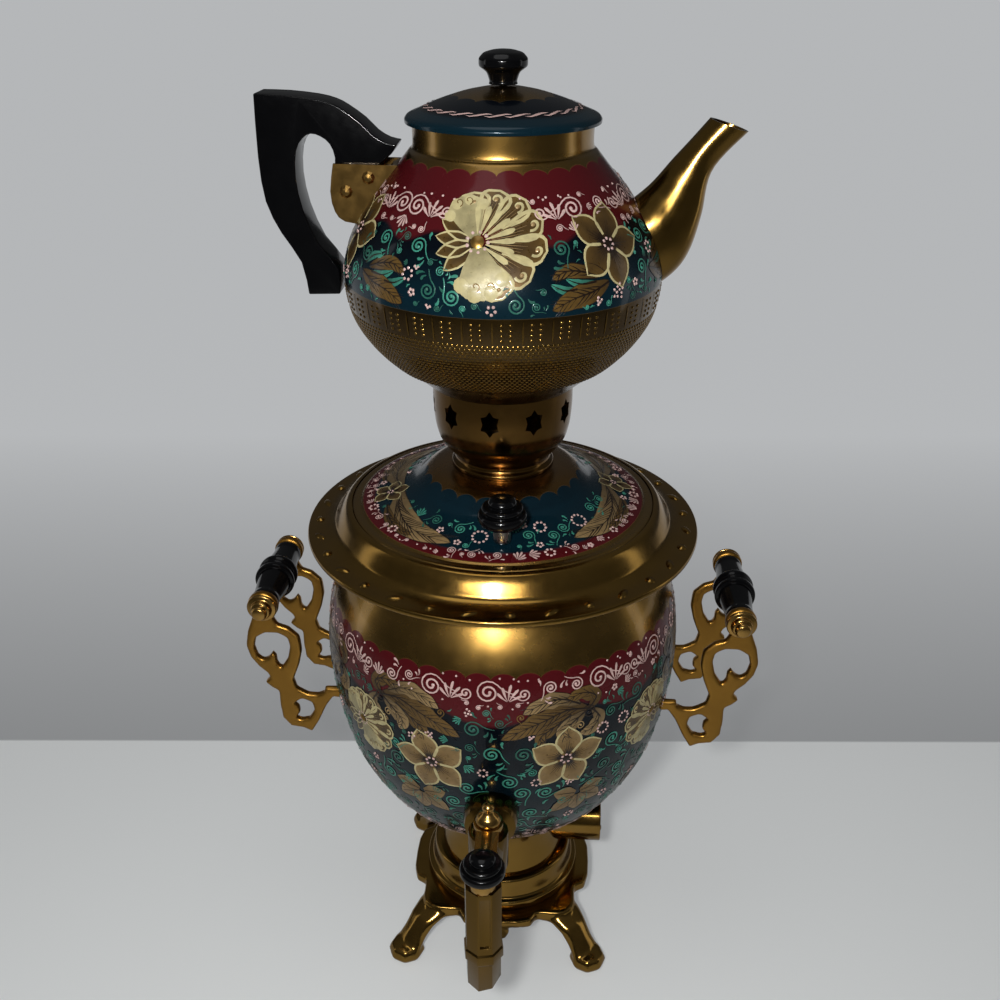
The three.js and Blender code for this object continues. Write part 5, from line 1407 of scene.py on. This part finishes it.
class SAMOVAR_OT_teapot(Step, bpy.types.Operator):
    """Builds the painted and embossed teapot with its spout and handle"""

    bl_idname = "samovar.teapot"
    bl_label = "Teapot"

    def execute(self, context):
        """Builds the pot and its pieces."""
        wall, rim, play = sizes().sheet, 2 * MM, 1.0 * MM
        outer = teapot_outline()
        bottom, top = outer[0][1], outer[-1][1]
        foot = box("crown")[1].x - wall - play
        outline = [(0, bottom - rim), (foot, bottom - rim), (foot, bottom), *outer,
                   *[(r, min(z, top)) for r, z in inside(outer, wall)[:2:-1]], (foot, bottom + wall),
                   (0, bottom + wall)]
        paint_coat("Teapot paint", teapot_bands)
        lining = (len(outer) + 3, len(outline))
        turned("pot_body", outline, "Teapot paint", "teapot", "teapot_body", lining=lining)
        self.embossing(outer)
        self.painting(outer)
        show("pot_spout", self.spout(outer), "Polished gold", "teapot", "teapot_spout")
        eased("teapot_handle", "pot_handle", "Black plastic", "teapot", edge=2.2 * MM, sharp=40, segments=4)
        return {"FINISHED"}

    def spout(self, outer):
        """The drawn spout: an open skin from the pot's wall to its lip."""
        reach, rise, bottom = 113 * MM, 128.7 * MM, outer[0][1]
        sides, steps, wall, clearance = 40, 30, 1.5 * MM, 0.4 * MM
        radii, heights = zip(*outer)
        skins = []
        for inset in (0, wall):
            rings = []
            for upper, lower, wide in zip(SPOUT_UPPER, SPOUT_LOWER, SPOUT_WIDTH):
                upper, lower = (Vector((x * reach, 0, bottom + z * rise)) for x, z in (upper, lower))
                half = (upper - lower) / 2
                half *= 1 - inset / half.length
                rings.append([(upper + lower) / 2 + half * math.cos(a)
                              + Vector((0, (wide - inset) * math.sin(a), 0))
                              for a in np.linspace(0, 2 * math.pi, sides, endpoint=False)])
            lines = []
            for run in zip(*rings):
                line = np.array(flowing([tuple(p) for p in run], 10))
                clear = np.hypot(line[:, 0], line[:, 1]) - np.interp(line[:, 2], heights, radii) - clearance
                first = int(np.argmax(clear > 0))
                share = clear[first] / (clear[first] - clear[first - 1])
                ends = np.linspace(first - share, len(line) - 1, steps)
                lines.append([[np.interp(e, range(len(line)), line[:, k]) for k in range(3)] for e in ends])
            skins.append(lines)
        across = [outside + back[::-1] for outside, back in zip(*skins)]
        points = [(x, AXIS_Y + y, z) for line in across for x, y, z in line]
        count = 2 * steps
        faces = [(j * count + i, j * count + (i + 1) % count, (j + 1) % sides * count + (i + 1) % count,
                  (j + 1) % sides * count + i) for j in range(sides) for i in range(count)]
        shape = bmesh.new()
        shape.from_mesh(mesh_of(points, faces))
        bmesh.ops.recalc_face_normals(shape, faces=shape.faces)
        return meshed(shape)

    def embossing(self, outer):
        """Fine bars and dot columns round the pot, over rows of pebbles."""
        art = Painting(Wall(outer))
        at, bare, cells = art.wall.at_height, (1, 1, 1, 1), 36
        bars, rows_low, rows_high = 0.4095, 0.3735, 0.4025
        run = at(bars)
        for k in range(cells):
            art.spot(k * 360 / cells, run)
            art.stroke([(0, y) for y in (-5.4, -3, 0, 3, 5.4)], [0.3, 0.7, 0.8, 0.7, 0.3], bare, 0.3)
            for x in (4, 8):
                for y in (-3.8, -1.3, 1.2, 3.7):
                    art.dot(x, y, 0.85, bare, lift=0.1, rise=0.35, stretch=1.1, sides=6)
        row_pitch, pebble_pitch = 1.9 * MM, 2.3 * MM
        for row, run in enumerate(np.arange(at(rows_high), at(rows_low), -row_pitch)):
            count = round(2 * math.pi * np.interp(run, art.wall.run, art.wall.radius) / pebble_pitch)
            for k in range(count):
                art.spot((k + 0.5 * (row % 2)) * 360 / count, run)
                art.dot(0, 0, 0.85, bare, lift=0.1, rise=0.25, stretch=1.2, sides=6)
        art.piece("pot_embossing", "Embossed gold", "teapot")

    def painting(self, outer):
        """The pot's flowers, leaves and scrolls."""
        art = Painting(Wall(outer))
        brush = Brush(art)
        at, great, leaves, pointed, garland = art.wall.at_height, 0.4465, 0.428, 0.4425, 0.4575
        for turn in (-6, 113, 236):
            art.spot(turn, at(great))
            brush.great_flower(31)
            for x, y in ((-8, 12), (6, 12), (4, -14), (20, 6), (-10, 0), (20, -10), (12, -2)):
                art.claim(11, x, y)
            for side in (-1, 1):
                art.spot(turn + side * 36, at(leaves), flip=side > 0)
                brush.leaf_form([(-15, 0), (-6, -3), (4, -5), (14, -9)], 5.2, 7)
                brush.leaf_form([(-10, 3), (-2, 6), (6, 7), (13, 4)], 3.4, 5)
                for path in ([(-8, 1), (0, 1), (7, 4)], [(2, -1), (8, -1), (14, 2)],
                             [(-14, 4), (-9, 8), (-3, 10)]):
                    brush.leaf_form(path, 1.9, 0, brush.green)
                for x, y in ((-12, -1), (-4, -2), (5, -3), (12, -6), (-3, 5), (7, 5)):
                    art.claim(5, x, y)
        for turn in (45.5, 165, 290):
            art.spot(turn, at(pointed), tilt=-14)
            brush.flower(20, 80, brush.leaf_dark, brush.leaf)
            art.claim(15.5)
        brush.garland(at(garland), 18, 9.0, 9)
        art.fill(at(0.447), at(0.464), (7, 5.5, 4.2, 3, 2.1, 1.1), 1000, brush.crimson_motif)
        art.fill(at(0.4165), at(0.449), (6.6, 5, 3.6, 2.6, 1.8, 1.2), 2000, brush.field_motif)
        art.piece("pot_painting", "Enamel", "teapot")


def pot_lid_bands(finish):
    """Gold middle with scallops, navy band and a blue rim."""
    x, y, _ = from_axis(finish)
    angle, radius = azimuth(finish, x, y), distance(finish, x, y)
    edge = scalloped(finish, angle, 14, 3.0 * MM)
    painted = above(finish, radius, finish.math("SUBTRACT", POT_LID_GOLD, edge))
    rim = above(finish, radius, POT_LID_RIM, 1.0 * MM)
    blue = finish.blend(rim, palette().navy, palette().teal)
    return finish.blend(painted, gold_colour(finish), blue), finish.math("SUBTRACT", 1.0, painted)


class SAMOVAR_OT_pot_lid(Step, bpy.types.Operator):
    """Builds the teapot's lid and knob"""

    bl_idname = "samovar.pot_lid"
    bl_label = "Teapot lid"

    def execute(self, context):
        """Builds the lid, its rope ring and its knob."""
        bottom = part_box("teapot_body")[1].z + 0.3 * MM
        wall, height, skirt, depth = sizes().sheet, 15.7 * MM, 40.2 * MM, 8 * MM
        outer = softened(scaled(POT_LID, POT_LID_RADIUS, height, bottom), 0.35, 5)
        inner = inside(outer, wall)[-3:10:-1]
        outline = [(0, bottom + height - wall), *inner, (skirt - wall, bottom + wall),
                   (skirt - wall, bottom - depth), (skirt, bottom - depth), (skirt, bottom), *outer]
        paint_coat("Teapot lid paint", pot_lid_bands)
        lining = (0, len(inner) + 2)
        turned("pot_lid_dome", outline, "Teapot lid paint", "pot_lid", "teapot_lid", lining=lining)
        art = Painting(Wall(outer[:-1]))
        count, rope = 26, (*palette().rose, 0.0)
        for k in range(count):
            art.spot(k * 360 / count, art.wall.at_radius(36 * MM))
            art.stroke([(-5.8, -0.6), (-3.6, -1.2), (0, 0.1), (3.4, 1.2), (5.8, 0.9)],
                       [0.2, 0.9, 1.4, 0.9, 0.2], rope, 0.3)
        art.piece("pot_lid_painting", "Enamel", "pot_lid")
        knob("pot_knob", "teapot_lid_knob", "pot_lid", POT_KNOB, 11.3 * MM, 15.2 * MM, upright(), corners=5)
        return {"FINISHED"}


class SAMOVAR_OT_tap(Step, bpy.types.Operator):
    """Builds the tap, its key and its knob"""

    bl_idname = "samovar.tap"
    bl_label = "Tap"

    def execute(self, context):
        """Builds the tap."""
        # The tap's body takes the shaded copy of the gold, which paints shade into its colour.
        eased("tap_body", "tap_spout", "Dark gold", "samovar", edge=0.5 * MM, sharp=25, segments=2)
        eased("tap_lever", "key_arm", "Brass", "tap_key", edge=0.6 * MM, sharp=30, segments=2)
        low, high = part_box("tap_finial")
        outline = softened(scaled(BELL, (high.x - low.x) / 2, high.z - low.z, low.z), 0.25)
        turned("key_bell", outline, "Brass", "tap_key", "tap_finial", small=True,
               place=upright(*middle("tap_finial").xy))
        low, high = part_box("tap_knob")
        knob("key_knob", "tap_knob", "tap_key", RING_KNOB, (high.x - low.x) / 2, 13.5 * MM,
             upright(*middle("tap_knob").xy))
        return {"FINISHED"}


class SAMOVAR_OT_handles(Step, bpy.types.Operator):
    """Builds the side handles"""

    bl_idname = "samovar.handles"
    bl_label = "Side handles"

    def execute(self, context):
        """Builds the grips, the scroll brackets and the end caps."""
        for side in ("left", "right"):
            self.grip(side)
            for end in ("front", "rear"):
                cast(f"handle_bracket_{side}_{end}", f"scroll_{side}_{end}", "Cast brass", "samovar",
                     grain=0.7 * MM, passes=16)
                self.cap(side, end)
        return {"FINISHED"}

    def grip(self, side):
        """The turned grip with its raised rings."""
        node, bore = f"grip_{side}", 2.7 * MM
        low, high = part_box(node)
        half = (high.y - low.y) / 2
        lower = [(radius * MM, share * half - half) for radius, share in HALF_GRIP]
        outer = softened(lower + [(r, -z) for r, z in lower[-2::-1]], 0.3, 3)
        outline = [(bore, -half), *outer, (bore, half)]
        turned(f"handle_grip_{side}", outline, "Black plastic", "samovar", node, small=True, closed=True,
               place=towards((0, 1, 0), *middle(node)))

    def cap(self, side, end):
        """A turned end cap."""
        node = f"end_cap_{side}_{end}"
        low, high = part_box(node)
        x, _, z = middle(node)
        start, way = (high.y, -1) if end == "front" else (low.y, 1)
        outline = softened(scaled(END_CAP, (high.x - low.x) / 2, high.y - low.y, 0), 0.25)
        turned(f"cap_{side}_{end}", outline, "Brass", "samovar", node, small=True,
               place=towards((0, way, 0), x, start, z))


STEPS = (SAMOVAR_OT_stage, SAMOVAR_OT_finishes, SAMOVAR_OT_base, SAMOVAR_OT_vessel, SAMOVAR_OT_collar,
         SAMOVAR_OT_lid, SAMOVAR_OT_crown, SAMOVAR_OT_teapot, SAMOVAR_OT_pot_lid, SAMOVAR_OT_tap,
         SAMOVAR_OT_handles)


class SAMOVAR_PT_panel(bpy.types.Panel):
    """Settings and steps in the sidebar"""

    bl_idname = "SAMOVAR_PT_panel"
    bl_label = "Samovar"
    bl_space_type = "VIEW_3D"
    bl_region_type = "UI"
    bl_category = "Samovar"

    def draw(self, context):
        """Lists the settings and a button for each step."""
        for group in SETTINGS:
            settings = getattr(context.scene, group)
            column = self.layout.box().column()
            for name in settings.bl_rna.properties.keys():
                if name not in ("rna_type", "name"):
                    column.prop(settings, name)
        for step in STEPS:
            self.layout.operator(step.bl_idname)


SETTINGS = {"samovar_sizes": SamovarSizes, "samovar_view": SamovarView, "samovar_colours": SamovarColours}


def register():
    """Registers the settings, the steps and the panel."""
    for name, settings in SETTINGS.items():
        bpy.utils.register_class(settings)
        setattr(bpy.types.Scene, name, bpy.props.PointerProperty(type=settings))
    for step in STEPS:
        bpy.utils.register_class(step)
    bpy.utils.register_class(SAMOVAR_PT_panel)


def unregister():
    """Takes them out again."""
    bpy.utils.unregister_class(SAMOVAR_PT_panel)
    for step in reversed(STEPS):
        bpy.utils.unregister_class(step)
    for name, settings in SETTINGS.items():
        delattr(bpy.types.Scene, name)
        bpy.utils.unregister_class(settings)


def main():
    """Runs every step in order."""
    register()
    for step in STEPS:
        group, name = step.bl_idname.split(".")
        getattr(getattr(bpy.ops, group), name)()


if __name__ == "__main__":
    main()
